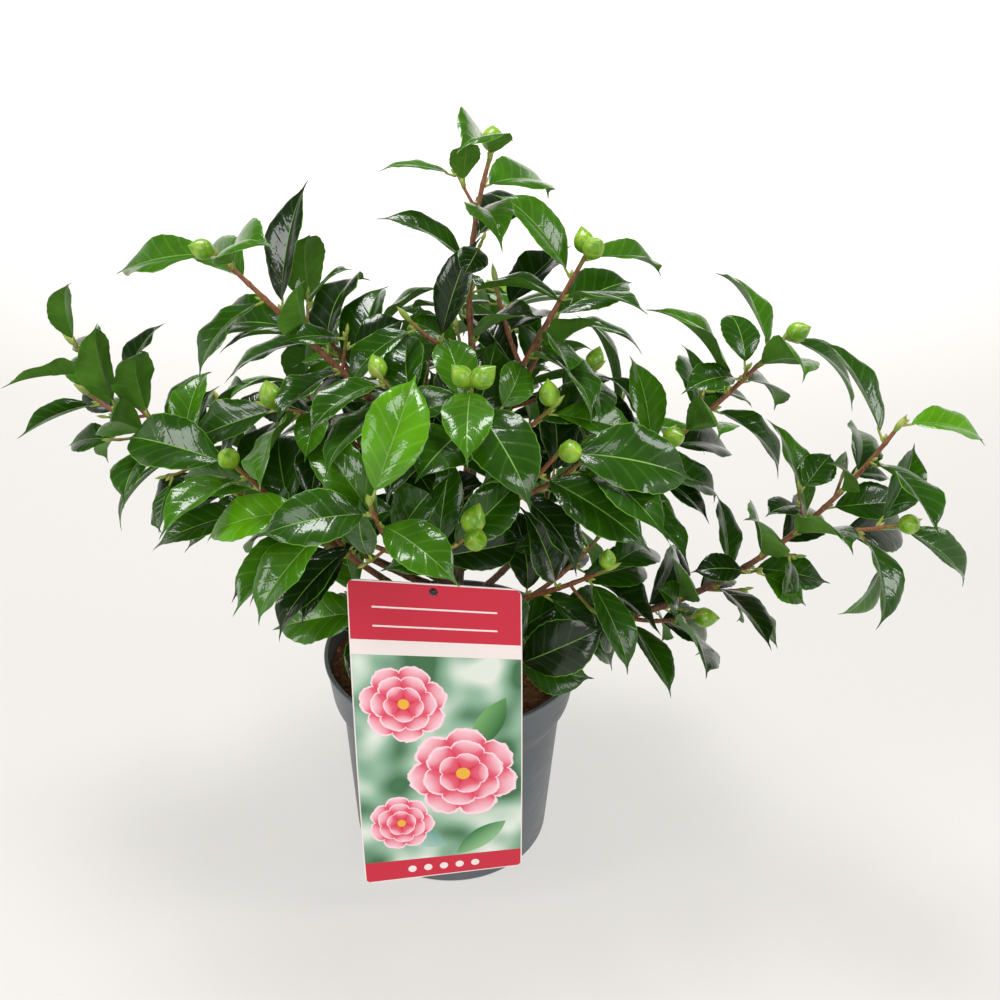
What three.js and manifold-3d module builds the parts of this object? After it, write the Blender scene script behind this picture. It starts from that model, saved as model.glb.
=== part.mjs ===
// A young camellia in a 17 cm nursery pot, with its picture label.
// Millimetres, +Z up. The origin is the centre of the pot's flat underside and -Y is the front.
//
// The plant is grown by rule. Each limb leaves the trunk as a bare bough and goes on as a leafy
// stem with side twigs. Leaves stand alternately along every twig, 144 degrees apart, and a leaf
// or bud that would touch anything else is turned on its stalk until it fits, or left out.

import * as THREE from 'three';
import { mergeVertices } from 'three/addons/utils/BufferGeometryUtils.js';
import Module from 'manifold-3d';

// ---- driving dimensions -------------------------------------------------------------------

const GAP = 0.3; // clearance between neighbouring pieces
const SLIVER = 0.02; // facets thinner than this are closed up

const POT = {
  height: 146,
  rimRadius: 85, // outside, at the very top
  bandRadius: 80.5, // outside, at the foot of the rim band
  bandHeight: 35,
  shoulder: 6.5, // half the height of the rounded step between body and band
  bodyRadius: 74, // outside, just under the band
  baseRadius: 68,
  wall: 1.5,
  floor: 2.2,
  lip: 2.6, // how far the top edge is rolled outwards and down
  holes: 8,
  holeRadius: 5,
  holeCircle: 52,
  facets: 32,
};

const SOIL = { level: 133, rise: 2.5, facets: 32 };

const TRUNK = {
  footRadius: 5.2,
  tipRadius: 2.5,
  flare: 3.2, // extra radius at soil level
  flareHeight: 14,
  tip: [16, 5, 322],
  bow: [-6, 0, 0],
  sides: 8,
  rings: 12,
};

const LABEL = {
  width: 100,
  height: 209,
  thickness: 0.7,
  corner: 5,
  topCentre: [-7.2, -75, 241.7],
  lean: 4.5, // degrees, foot towards the front
  roll: 2,
  yawTop: -6.8, // the card is a little twisted: its top and foot face different ways
  yawFoot: 8.9,
  bow: 3.1, // how far the middle of the card stands forward
  holeRadius: 2.4,
  holeDrop: 5, // hole centre below the top edge
};

const STAKE = { width: 5, depth: 2.6, pegRadius: 2, pegLength: 9, behind: 3.4, buried: 18 };

const LEAF = {
  turn: 144, // degrees from one leaf to the next round the stem
  thickness: 1.1, // at the midrib
  stations: [0.2, 0.62], // rings along the blade
  lookAside: [0, 42, -42, 84, -84, 128], // turns tried before a leaf is left out
  clearance: 2.8, // least distance between two leaves' ribs
};

// Buds are turned from a profile of (radius, length), each as a share of the bud's own.
const BUD = {
  length: 17,
  radius: 6.2,
  tilt: 38,
  sides: 5,
  profile: [[0, 0], [0.92, 0.24], [0.9, 0.62], [0, 1]],
};
const TIP_BUD = { length: 13, radius: 1.9, profile: [[0, 0], [1, 0.45], [0, 1]] };

const LIGHT = [0, -0.5, 1]; // the leaves face upwards and a little to the front

// Each limb: where it leaves the trunk, its heading (0 is +X, 90 the back) and climb in degrees,
// its straight reach, how far it sags or swings from that line, the bare share of its length, the
// leaf length, and the seed. Twigs leave the stem at a share of its length.
const LIMBS = [
  {
    name: 'top', foot: null, heading: 79, climb: 82, reach: 141, swing: 10, bare: 0, leaf: 50,
    seed: 226, spacing: 15, buds: 1,
    twigs: [
      { at: 0.16, heading: 210, climb: 36, reach: 51 },
    ],
  },
  {
    name: 'top_right', foot: 285, heading: 5, climb: 63, reach: 140, bare: 0.3, leaf: 50,
    seed: 223, buds: 2,
    twigs: [
      { at: 0.45, heading: 125, climb: 57, reach: 53 },
    ],
  },
  {
    name: 'upper_left', foot: 262, heading: 187, climb: 47, reach: 205, bare: 0.26, leaf: 52,
    seed: 249, buds: 1,
    twigs: [
      { at: 0.42, heading: 127, climb: 29, reach: 78 },
      { at: 0.32, heading: 206, climb: 15, reach: 73, buds: 1 },
    ],
  },
  {
    name: 'left', foot: 184, heading: 171, climb: 27, reach: 273, sag: 8, bare: 0.34, leaf: 46,
    seed: 175,
    twigs: [
      { at: 0.62, heading: 165, climb: 40, reach: 125 },
      { at: 0.45, heading: 140, climb: 45, reach: 85 },
      { at: 0.5, heading: 199, climb: 41, reach: 76 },
    ],
  },
  {
    name: 'left_front', foot: 166, heading: 204, climb: 46, reach: 193, sag: 5, bare: 0.34,
    leaf: 54, seed: 282, buds: 1,
    twigs: [
      { at: 0.5, heading: 183, climb: 33, reach: 74 },
      { at: 0.4, heading: 234, climb: 56, reach: 68 },
    ],
  },
  {
    name: 'low_left', foot: 151, heading: 208, climb: 37, reach: 84, sag: 4, bare: 0.35, leaf: 50,
    seed: 165,
  },
  {
    name: 'front', foot: 193, heading: 251, climb: 45, reach: 168, sag: 6, swing: -8, bare: 0.36,
    leaf: 52, seed: 228,
    twigs: [
      { at: 0.5, heading: 215, climb: 40, reach: 70 },
      { at: 0.42, heading: 310, climb: 38, reach: 70, buds: 2 },
    ],
  },
  {
    name: 'centre', foot: 250, heading: 275, climb: 59, reach: 123, bare: 0.3, leaf: 52, seed: 10,
    buds: 2,
    twigs: [
      { at: 0.5, heading: 200, climb: 45, reach: 70, buds: 1 },
      { at: 0.42, heading: 340, climb: 40, reach: 65, buds: 1 },
    ],
  },
  {
    name: 'right_front', foot: 176, heading: 335, climb: 30, reach: 119, sag: 5, bare: 0.35,
    leaf: 52, seed: 275, buds: 1,
    twigs: [
      { at: 0.5, heading: 10, climb: 45, reach: 60, buds: 1 },
    ],
  },
  {
    name: 'right_upper', foot: 206, heading: 10, climb: 37, reach: 253, sag: 16, bare: 0.28,
    leaf: 54, seed: 296, buds: 1,
    twigs: [
      { at: 0.38, heading: 330, climb: 50, reach: 70, buds: 1 },
      { at: 0.34, heading: 68, climb: 28, reach: 93 },
    ],
  },
  {
    name: 'right_lower', foot: 157, heading: 354, climb: 34, reach: 310, sag: 48, bare: 0.26,
    leaf: 50, seed: 221,
    twigs: [
      { at: 0.74, heading: 332, climb: 19, reach: 59, buds: 1 },
      { at: 0.34, heading: 340, climb: 15, reach: 44, buds: 2 },
    ],
  },
  {
    name: 'front_left', foot: 215, heading: 231, climb: 62, reach: 126, sag: 4, bare: 0.34,
    leaf: 54, seed: 29,
    twigs: [
      { at: 0.46, heading: 165, climb: 41, reach: 57, buds: 1 },
    ],
  },
  {
    name: 'front_right', foot: 233, heading: 312, climb: 46, reach: 122, sag: 4, bare: 0.34,
    leaf: 54, seed: 250, buds: 1,
    twigs: [
      { at: 0.46, heading: 347, climb: 38, reach: 57, buds: 1 },
    ],
  },
  {
    name: 'upper_right', foot: 270, heading: 41, climb: 53, reach: 111, sag: 3, bare: 0.34,
    leaf: 50, seed: 382,
    twigs: [
      { at: 0.46, heading: 340, climb: 32, reach: 59, buds: 1 },
    ],
  },
  {
    name: 'upper_back', foot: 242, heading: 148, climb: 55, reach: 126, sag: 3, bare: 0.34,
    leaf: 50, seed: 149,
    twigs: [
      { at: 0.46, heading: 83, climb: 46, reach: 60 },
    ],
  },
  {
    name: 'low_right', foot: 146, heading: 328, climb: 28, reach: 78, sag: 3, bare: 0.35, leaf: 52,
    seed: 42,
  },
  {
    name: 'back_left', foot: 198, heading: 128, climb: 30, reach: 209, sag: 8, bare: 0.34,
    leaf: 52, seed: 119, buds: 1,
    twigs: [
      { at: 0.5, heading: 158, climb: 38, reach: 83 },
      { at: 0.42, heading: 100, climb: 45, reach: 86, buds: 1 },
    ],
  },
  {
    name: 'back', foot: 222, heading: 83, climb: 35, reach: 203, sag: 8, bare: 0.34, leaf: 52,
    seed: 285, buds: 2,
    twigs: [
      { at: 0.5, heading: 115, climb: 47, reach: 70 },
      { at: 0.42, heading: 58, climb: 23, reach: 80 },
    ],
  },
  {
    name: 'back_right', foot: 170, heading: 47, climb: 25, reach: 214, sag: 8, bare: 0.34,
    leaf: 52, seed: 366, buds: 1,
    twigs: [
      { at: 0.5, heading: 11, climb: 34, reach: 70 },
      { at: 0.42, heading: 83, climb: 36, reach: 73, buds: 1 },
    ],
  },
];

const COLOURS = {
  pot: { color: '#4a5259', roughness: 0.5 },
  soil: { color: '#4a3322', roughness: 0.95 },
  trunk: { color: '#6e4f38', roughness: 0.85 },
  bough: { color: '#7c4a34', roughness: 0.75 },
  foliage: { color: '#2c6a26', roughness: 0.3 },
  label: { color: '#cf3f52', roughness: 0.35 },
  label_stake: { color: '#1d1e20', roughness: 0.5 },
};

// ---- vectors, chance and curves -----------------------------------------------------------

const UP = new THREE.Vector3(0, 0, 1);
const degrees = THREE.MathUtils.degToRad;
const vector = (list) => new THREE.Vector3(...list);

/** Sum of vectors, each times its own number: mix(a, 2, b, 3) is 2a + 3b. */
function mix(...terms) {
  const sum = new THREE.Vector3();
  for (let i = 0; i < terms.length; i += 2) {
    sum.addScaledVector(terms[i], terms[i + 1]);
  }
  return sum;
}

/** Park and Miller's generator: the same seed always grows the same limb. */
class Chance {
  constructor(seed) {
    this.state = (seed * 7919 + 12345) % 2147483647;
  }

  between(low, high) {
    this.state = (this.state * 48271) % 2147483647;
    return low + (high - low) * (this.state / 2147483647);
  }
}

function bearing(heading, climb) {
  const h = degrees(heading);
  const c = degrees(climb);
  return new THREE.Vector3(Math.cos(c) * Math.cos(h), Math.cos(c) * Math.sin(h), Math.sin(c));
}

/** One woody stem: a single curve through from, bent by control, to its tip. */
class Stem {
  constructor(from, control, to) {
    this.from = from;
    this.control = control;
    this.to = to;
  }

  /** A straight reach that sags below its line and swings to its left in the middle. */
  static reaching(from, heading, climb, reach, sag = 0, swing = 0) {
    const along = bearing(heading, climb);
    const to = mix(from, 1, along, reach);
    const left = bearing(heading + 90, 0);
    const under = new THREE.Vector3().crossVectors(left, along);
    const control = mix(from, 0.5, to, 0.5, under, 2 * sag, left, 2 * swing);
    return new Stem(from, control, to);
  }

  at(t) {
    return mix(this.from, (1 - t) ** 2, this.control, 2 * t * (1 - t), this.to, t * t);
  }

  direction(t) {
    return mix(this.from, t - 1, this.control, 1 - 2 * t, this.to, t).normalize();
  }

  length(start, end) {
    let sum = 0;
    for (let i = 0; i < 24; i += 1) {
      const a = this.at(start + ((end - start) * i) / 24);
      const b = this.at(start + ((end - start) * (i + 1)) / 24);
      sum += a.distanceTo(b);
    }
    return sum;
  }

  points(start, end, count) {
    return Array.from({ length: count + 1 }, (_, i) => this.at(start + ((end - start) * i) / count));
  }
}

/** Two directions square to `along`: one level, one completing the frame. */
function frameAcross(along) {
  const level = new THREE.Vector3().crossVectors(along, UP);
  const across = level.lengthSq() > 0.04 ? level.normalize() : new THREE.Vector3(1, 0, 0);
  across.addScaledVector(along, -across.dot(along)).normalize();
  return [across, new THREE.Vector3().crossVectors(across, along)];
}

// ---- leaves and buds ----------------------------------------------------------------------

/** Half the blade's width at t, as a share of the half width: full below the middle, long tip. */
function outline(t) {
  const body = t < 0.93 ? Math.sin((Math.PI * t) / 0.93) ** 0.8 : 0;
  return body + 0.9 * t ** 3 * (1 - t);
}

/** A leaf: a stalk, then a blade folded up at the midrib and arched back along its length. */
class Leaf {
  constructor(root, along, face, habit) {
    this.root = root;
    this.along = along.clone().normalize();
    this.face = mix(face, 1, this.along, -this.along.dot(face)).normalize();
    this.side = new THREE.Vector3().crossVectors(this.along, this.face);
    Object.assign(this, habit); // length, width, fold, bend, stalk
    const rows = [0.06, 0.25, 0.44, 0.63, 0.82, 1];
    this.net = rows.map((t) => [-1, 0, 1].map((v) => this.at(t, v)));
  }

  /** The blade's surface: t from base to tip, v from the left margin (-1) to the right (1). */
  at(t, v, lift = 0) {
    const turned = this.bend * t;
    const ahead = this.stalk + (this.length * Math.sin(turned)) / this.bend;
    const drop = (this.length * (1 - Math.cos(turned))) / this.bend;
    const half = (this.width / 2) * outline(t);
    const raise = half * (Math.abs(v) * Math.sin(this.fold) - 0.22 * v * v) + lift;
    return mix(
      this.root, 1,
      this.along, ahead + Math.sin(turned) * raise,
      this.face, Math.cos(turned) * raise - drop,
      this.side, half * v * Math.cos(this.fold),
    );
  }
}

/** Alternate leaves for one twig, each drawn with the same number of chances. */
function leafPlans(twig, chance) {
  const length = twig.stem.length(twig.first, 1);
  const count = Math.max(1, Math.round(length / twig.spacing));
  const phase = chance.between(0, 360);
  return Array.from({ length: count }, (_, i) => ({
    t: twig.first + ((1 - twig.first) * (i + 0.62)) / count,
    turn: phase + i * LEAF.turn + chance.between(-18, 18),
    spread: chance.between(46, 66),
    droop: chance.between(-0.2, 0.12),
    twist: chance.between(-0.25, 0.25),
    length: twig.leaf * chance.between(0.84, 1.16),
    broad: chance.between(0.52, 0.68),
    fold: chance.between(0.28, 0.58),
    bend: chance.between(0.35, 1.15),
    stalk: chance.between(5, 8),
  }));
}

/** The leaf that a plan gives when it is turned `aside` degrees round the stem. */
function growLeaf(twig, plan, aside) {
  const along = twig.stem.direction(plan.t);
  const [level, upper] = frameAcross(along);
  const turn = degrees(plan.turn + aside);
  const spread = degrees(plan.spread);
  const out = mix(level, Math.cos(turn), upper, Math.sin(turn));
  const reach = mix(along, Math.cos(spread), out, Math.sin(spread), UP, plan.droop).normalize();
  const inner = mix(along, 1, reach, -along.dot(reach)).normalize();
  const root = twig.stem.at(plan.t);
  const outward = new THREE.Vector3(root.x, root.y, 0).normalize();
  const light = mix(vector(LIGHT), 1, outward, 0.35).normalize();
  const roll = new THREE.Vector3().crossVectors(reach, inner);
  const face = mix(inner, 0.32, light, 0.68, roll, plan.twist);
  const { length, fold, bend, stalk } = plan;
  return new Leaf(root, reach, face, { length, width: length * plan.broad, fold, bend, stalk });
}

/** Flower buds: an egg with a pointed tip, leaning out beside the twig's end. */
function growBuds(twig, chance) {
  const buds = [];
  const along = twig.stem.direction(1);
  const [level, upper] = frameAcross(along);
  const phase = chance.between(0, 360);
  for (let i = 0; i < twig.buds; i += 1) {
    const turn = degrees(phase + i * 150);
    const tilt = degrees(BUD.tilt);
    const out = mix(level, Math.cos(turn), upper, Math.sin(turn));
    const reach = mix(along, Math.cos(tilt), out, Math.sin(tilt), UP, 0.15).normalize();
    const scale = chance.between(0.82, 1.05);
    buds.push({
      root: twig.stem.at(0.985),
      along: reach,
      length: BUD.length * scale,
      radius: BUD.radius * scale,
    });
  }
  return buds;
}

// ---- what touches what --------------------------------------------------------------------

const edge1 = new THREE.Vector3();
const edge2 = new THREE.Vector3();
const crossed = new THREE.Vector3();
const offset = new THREE.Vector3();
const travel = new THREE.Vector3();

/** Whether the segment p-q passes through the triangle a-b-c. */
function pierces(p, q, a, b, c) {
  edge1.subVectors(b, a);
  edge2.subVectors(c, a);
  travel.subVectors(q, p);
  crossed.crossVectors(travel, edge2);
  const slope = edge1.dot(crossed);
  if (Math.abs(slope) < 1e-9) {
    return false;
  }
  offset.subVectors(p, a);
  const u = offset.dot(crossed) / slope;
  offset.cross(edge1);
  const v = travel.dot(offset) / slope;
  const t = edge2.dot(offset) / slope;
  return u >= 0 && v >= 0 && u + v <= 1 && t >= 0 && t <= 1;
}

/** A leaf's net as the segments of its stalk and ribs and the triangles between them. */
function netParts({ root, net }) {
  const segments = [[root, net[0][1]]];
  const triangles = [];
  for (let i = 0; i < net.length; i += 1) {
    segments.push([net[i][0], net[i][1]], [net[i][1], net[i][2]]);
    for (let j = 0; j < 3 && i + 1 < net.length; j += 1) {
      segments.push([net[i][j], net[i + 1][j]]);
      if (j < 2) {
        triangles.push([net[i][j], net[i + 1][j], net[i][j + 1]]);
        triangles.push([net[i][j + 1], net[i + 1][j], net[i + 1][j + 1]]);
      }
    }
  }
  const points = net.flat();
  return { segments, triangles, points, box: new THREE.Box3().setFromPoints([root, ...points]) };
}

function anyPierce(segments, triangles) {
  return segments.some(([p, q]) => triangles.some(([a, b, c]) => pierces(p, q, a, b, c)));
}

function leavesTouch(one, other) {
  if (!one.box.clone().expandByScalar(LEAF.clearance).intersectsBox(other.box)) {
    return false;
  }
  const near = one.points.some((p) => other.points.some((q) => p.distanceTo(q) < LEAF.clearance));
  return near || anyPierce(one.segments, other.triangles) || anyPierce(other.segments, one.triangles);
}

/** Distance from point p to the segment a-b. */
function distanceToSegment(p, a, b) {
  offset.subVectors(b, a);
  const t = THREE.MathUtils.clamp(travel.subVectors(p, a).dot(offset) / offset.lengthSq(), 0, 1);
  return travel.subVectors(p, a).addScaledVector(offset, -t).length();
}

/** A stem and its end bud as a row of points in a box, for testing leaves and buds against. */
function stemRow(stem, radius, owner) {
  const tip = mix(stem.at(0.97), 1, stem.direction(0.97), TIP_BUD.length);
  const points = [...stem.points(0, 1, 16), tip];
  const box = new THREE.Box3().setFromPoints(points).expandByScalar(radius + 1);
  return { points, radius, owner, box };
}

/** A flower bud as the ball round its middle. */
function eggOf(bud) {
  return { centre: mix(bud.root, 1, bud.along, bud.length * 0.5), radius: bud.length * 0.5 };
}

/** Whether a bud comes near a stem that isn't its own, or another bud. */
function budMeets(egg, twig, stems, eggs) {
  const near = (row) => row.points.some((a, i) => i > 0
    && distanceToSegment(egg.centre, row.points[i - 1], a) < egg.radius + row.radius);
  return stems.some((row) => row.owner !== twig && near(row))
    || eggs.some((other) => other.centre.distanceTo(egg.centre) < (egg.radius + other.radius) * 0.8);
}

/** Whether a leaf runs through or along a stem. */
function meetsStem(parts, { points, radius, box }) {
  if (!box.intersectsBox(parts.box)) {
    return false;
  }
  for (let i = 0; i + 1 < points.length; i += 1) {
    const [a, b] = [points[i], points[i + 1]];
    const near = parts.points.some((p) => distanceToSegment(p, a, b) < radius + 1);
    if (near || anyPierce([[a, b]], parts.triangles)) {
      return true;
    }
  }
  return false;
}

/** A point on the hanging card: u across from its middle, s from top (0) to foot (1). */
function cardPoint(u, s, forward = 0) {
  const { topCentre, height, lean, roll, yawTop, yawFoot, bow } = LABEL;
  const yaw = degrees(yawTop + (yawFoot - yawTop) * s);
  const across = new THREE.Vector3(Math.cos(yaw), Math.sin(yaw), Math.sin(degrees(roll)));
  const drop = s * height * Math.cos(degrees(roll));
  const slope = degrees(lean);
  return new THREE.Vector3(
    topCentre[0] + s * height * Math.sin(degrees(roll)),
    topCentre[1] - drop * Math.sin(slope) - 4 * bow * s * (1 - s) - forward,
    topCentre[2] - drop * Math.cos(slope),
  ).addScaledVector(across, u);
}

/** Whether a point lies in the pot, the soil, the label or the air in front of the label. */
function inTheWay(p) {
  const r = Math.hypot(p.x, p.y);
  if (p.z < SOIL.level + 6 && r < POT.rimRadius + 1.5) {
    return p.z > POT.height - POT.bandHeight || r < POT.bodyRadius + 3;
  }
  if (r > POT.bandRadius - 3 && r < POT.rimRadius + 2 && p.z < POT.height + 2) {
    return true;
  }
  const [x, , top] = LABEL.topCentre;
  const share = THREE.MathUtils.clamp((top - p.z) / LABEL.height, 0, 1);
  const ahead = cardPoint(0, share).y + 10 - p.y;
  const cleared = top + 3 + 0.52 * Math.max(0, ahead - 10);
  return ahead > 0 && Math.abs(p.x - x) < LABEL.width / 2 + 3 && p.z < cleared;
}

// ---- solids -------------------------------------------------------------------------------

const wasm = await Module();
wasm.setup();

function toSolid(geometry) {
  const bare = geometry.index ? geometry.clone() : geometry;
  bare.deleteAttribute('normal');
  bare.deleteAttribute('uv');
  const merged = mergeVertices(bare, 1e-5);
  return new wasm.Manifold(new wasm.Mesh({
    numProp: 3,
    vertProperties: new Float32Array(merged.attributes.position.array),
    triVerts: new Uint32Array(merged.index.array),
  }));
}

function toGeometry(solid) {
  const mesh = solid.asOriginal().simplify(SLIVER).getMesh();
  const geometry = new THREE.BufferGeometry();
  geometry.setAttribute('position', new THREE.BufferAttribute(mesh.vertProperties, 3));
  geometry.setIndex(new THREE.BufferAttribute(mesh.triVerts, 1));
  geometry.computeVertexNormals();
  return geometry;
}

/** A round blank of the given (radius, height) profile, with every vertex moved by `place`. */
function turned(profile, sides, place) {
  const blank = new THREE.LatheGeometry(profile.map(([r, h]) => new THREE.Vector2(r, h)), sides);
  const position = blank.attributes.position;
  const spot = new THREE.Vector3();
  for (let i = 0; i < position.count; i += 1) {
    spot.fromBufferAttribute(position, i);
    const moved = place ? place(spot) : new THREE.Vector3(spot.z, spot.x, spot.y);
    position.setXYZ(i, moved.x, moved.y, moved.z);
  }
  return toSolid(blank);
}

/** A tapering limb along a stem; radius(t) gives its thickness. */
function limbSolid(stem, start, end, radius, sides, rings) {
  const steps = Array.from({ length: rings + 1 }, (_, i) => start + ((end - start) * i) / rings);
  const profile = [[0, start], ...steps.map((t) => [1, t]), [0, end]];
  return turned(profile, sides, (spot) => {
    const [level, upper] = frameAcross(stem.direction(spot.y));
    const r = radius(spot.y);
    return mix(stem.at(spot.y), 1, level, r * spot.x, upper, r * spot.z);
  });
}

/** The leaf's solid: a four-sided blank whose corners become margins and midrib. */
function leafSolid(leaf) {
  const rows = [-1, ...LEAF.stations, 2];
  const profile = rows.map((row) => [row < 0 || row > 1 ? 0 : 1, row]);
  return turned(profile, 4, (spot) => {
    if (spot.y < 0) {
      return leaf.root.clone();
    }
    if (spot.y > 1) {
      return leaf.at(1, 0);
    }
    return leaf.at(spot.y, spot.x, (LEAF.thickness / 2) * spot.z);
  });
}

function budSolid(bud, sides, profile) {
  const [level, upper] = frameAcross(bud.along);
  return turned(profile, sides, (spot) => mix(
    bud.root, 1,
    bud.along, spot.y * bud.length,
    level, bud.radius * spot.x,
    upper, bud.radius * spot.z,
  ));
}

// ---- growing the plant --------------------------------------------------------------------

const trunkStem = (() => {
  const foot = new THREE.Vector3(0, 0, SOIL.level + SOIL.rise + GAP);
  const tip = vector(TRUNK.tip);
  return new Stem(foot, mix(foot, 0.5, tip, 0.5, vector(TRUNK.bow), 1), tip);
})();

function trunkRadius(t, extra = 0) {
  const height = t * (TRUNK.tip[2] - trunkStem.from.z);
  const flare = TRUNK.flare * Math.exp((-3 * height) / TRUNK.flareHeight);
  return TRUNK.footRadius + (TRUNK.tipRadius - TRUNK.footRadius) * t + flare + extra;
}

/** One limb's stem and twigs, with the radius of each. */
function layOutLimb(limb) {
  const t = limb.foot === null ? 1 : (limb.foot - trunkStem.from.z) / (TRUNK.tip[2] - trunkStem.from.z);
  const from = trunkStem.at(t);
  const stem = Stem.reaching(from, limb.heading, limb.climb, limb.reach, limb.sag, limb.swing);
  const spacing = limb.spacing ?? 12;
  const thick = limb.foot === null ? TRUNK.tipRadius - 0.3 : 1.9 + limb.reach / 260;
  const main = {
    stem, thick, thin: 1.2, spacing, leaf: limb.leaf, buds: limb.buds ?? 0,
    start: limb.bare, first: limb.bare + 0.06,
  };
  const twigs = (limb.twigs ?? []).map((twig) => ({
    stem: Stem.reaching(stem.at(twig.at), twig.heading, twig.climb, twig.reach, 3, 0),
    thick: 1.6, thin: 1.1, spacing, leaf: limb.leaf * 0.95, buds: twig.buds ?? 0,
    start: 0, first: Math.min(0.5, 14 / twig.reach),
  }));
  return { ...limb, twigs: [main, ...twigs] };
}

const radiusOf = (twig) => (t) => twig.thick + (twig.thin - twig.thick) * t;

/** Gives every twig its buds, then its leaves, each only where it touches nothing else. */
function settle(limbs) {
  const stems = [stemRow(trunkStem, TRUNK.footRadius, null)];
  for (const limb of limbs) {
    stems.push(...limb.twigs.map((twig) => stemRow(twig.stem, twig.thick, twig)));
  }
  const placed = [];
  const eggs = [];
  for (const limb of limbs) {
    const chance = new Chance(limb.seed);
    for (const twig of limb.twigs) {
      const clear = (bud) => !budMeets(eggOf(bud), twig, stems, eggs);
      twig.flowerBuds = growBuds(twig, chance).filter(clear);
      twig.plans = leafPlans(twig, chance);
      eggs.push(...twig.flowerBuds.map(eggOf));
    }
  }
  const fits = (leaf, twig) => {
    const parts = netParts(leaf);
    const clash = parts.points.some(inTheWay)
      || parts.points.some((p) => eggs.some((egg) => p.distanceTo(egg.centre) < egg.radius + 1))
      || stems.some((other) => other.owner !== twig && meetsStem(parts, other))
      || placed.some((other) => leavesTouch(parts, other));
    if (!clash) {
      placed.push(parts);
    }
    return !clash;
  };
  for (const twig of limbs.flatMap((limb) => limb.twigs)) {
    twig.leaves = [];
    for (const plan of twig.plans) {
      const turns = LEAF.lookAside.map((aside) => growLeaf(twig, plan, aside));
      const leaf = turns.find((one) => fits(one, twig));
      if (leaf) {
        twig.leaves.push(leaf);
      }
    }
  }
}

function massSolid(limb) {
  const [main, ...side] = limb.twigs;
  const gapShare = GAP / main.stem.length(0, 1);
  const rings = (twig, from) => Math.max(2, Math.round(twig.stem.length(from, 1) / 17));
  let mass = limbSolid(main.stem, main.start + gapShare, 1, radiusOf(main), 3, rings(main, main.start));
  for (const twig of side) {
    mass = mass.add(limbSolid(twig.stem, 0, 1, radiusOf(twig), 3, rings(twig, 0)));
  }
  for (const twig of limb.twigs) {
    const along = twig.stem.direction(1);
    mass = mass.add(budSolid({ root: twig.stem.at(0.97), along, ...TIP_BUD }, 3, TIP_BUD.profile));
    for (const leaf of twig.leaves) {
      mass = mass.add(leafSolid(leaf));
    }
    for (const bud of twig.flowerBuds) {
      mass = mass.add(budSolid(bud, BUD.sides, BUD.profile));
    }
  }
  return mass;
}

function boughSolid(limb, sleeve) {
  const [main] = limb.twigs;
  return limbSolid(main.stem, 0, main.start, radiusOf(main), 5, 3).subtract(sleeve);
}

// ---- pot, soil, label ---------------------------------------------------------------------

/** The rounded step from the body up to the rim band, `inset` inside the pot's outer surface. */
function shoulder(inset) {
  const middle = POT.height - POT.bandHeight;
  return [
    [POT.bodyRadius - inset, middle - POT.shoulder],
    [POT.bodyRadius + 1.2 - inset, middle - POT.shoulder * 0.4],
    [POT.bandRadius - 1.2 - inset, middle + POT.shoulder * 0.4],
    [POT.bandRadius - inset, middle + POT.shoulder],
  ];
}

function potProfile() {
  const { height, rimRadius, baseRadius, wall, floor, lip } = POT;
  return [
    [0, 0], [baseRadius - 1.5, 0], [baseRadius, 1.5], ...shoulder(0),
    [rimRadius - lip / 2, height - lip - 1], [rimRadius, height - lip], [rimRadius, height - 0.8],
    [rimRadius - 0.8, height], [rimRadius - lip, height],
    ...shoulder(wall).reverse(), [baseRadius - wall, floor], [0, floor],
  ];
}

function potSolid() {
  let pot = turned(potProfile(), POT.facets);
  for (let i = 0; i < POT.holes; i += 1) {
    const angle = (2 * Math.PI * i) / POT.holes;
    const hole = new THREE.CylinderGeometry(POT.holeRadius, POT.holeRadius, POT.floor * 3, 8);
    hole.rotateX(Math.PI / 2);
    hole.translate(POT.holeCircle * Math.cos(angle), POT.holeCircle * Math.sin(angle), POT.floor / 2);
    pot = pot.subtract(toSolid(hole));
  }
  return pot;
}

function soilSolid() {
  const { height, bandHeight, bandRadius, rimRadius, baseRadius, wall, floor, lip } = POT;
  const { level, rise } = SOIL;
  const inner = bandRadius - wall;
  const share = (level - height + bandHeight - POT.shoulder) / (bandHeight - POT.shoulder);
  const atLevel = inner + (rimRadius - lip - inner) * share;
  return turned([
    [0, floor + GAP], [baseRadius - wall - GAP, floor + GAP], ...shoulder(wall + GAP),
    [atLevel - GAP, level], [60, level + rise * 0.6], [16, level + rise], [0, level + rise],
  ], SOIL.facets);
}

/** Moves something drawn flat, its top edge's middle at the origin, to the card's mean place. */
function hang(geometry) {
  const down = cardPoint(0, 1).sub(cardPoint(0, 0)).normalize();
  const across = cardPoint(1, 0.5).sub(cardPoint(0, 0.5)).normalize();
  const front = new THREE.Vector3().crossVectors(down, across).normalize();
  across.crossVectors(front, down);
  geometry.applyMatrix4(new THREE.Matrix4().makeBasis(across, down.negate(), front));
  return geometry.translate(...LABEL.topCentre);
}

/** The card's outline with rounded corners, hanging from the origin. */
function cardShape() {
  const { width, height, corner } = LABEL;
  const [x, y] = [width / 2 - corner, height - corner];
  const shape = new THREE.Shape();
  shape.absarc(x, -corner, corner, 0, Math.PI / 2);
  shape.absarc(-x, -corner, corner, Math.PI / 2, Math.PI);
  shape.absarc(-x, -y, corner, Math.PI, 1.5 * Math.PI);
  shape.absarc(x, -y, corner, 1.5 * Math.PI, 2 * Math.PI);
  return shape;
}

/** A round pin square to the card at its hole, standing `front` proud of the card's middle. */
function hungPin(radius, length, front, sides) {
  const pin = new THREE.CylinderGeometry(radius, radius, length, sides);
  pin.rotateX(Math.PI / 2);
  pin.translate(0, -LABEL.holeDrop, front);
  return hang(pin);
}

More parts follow.
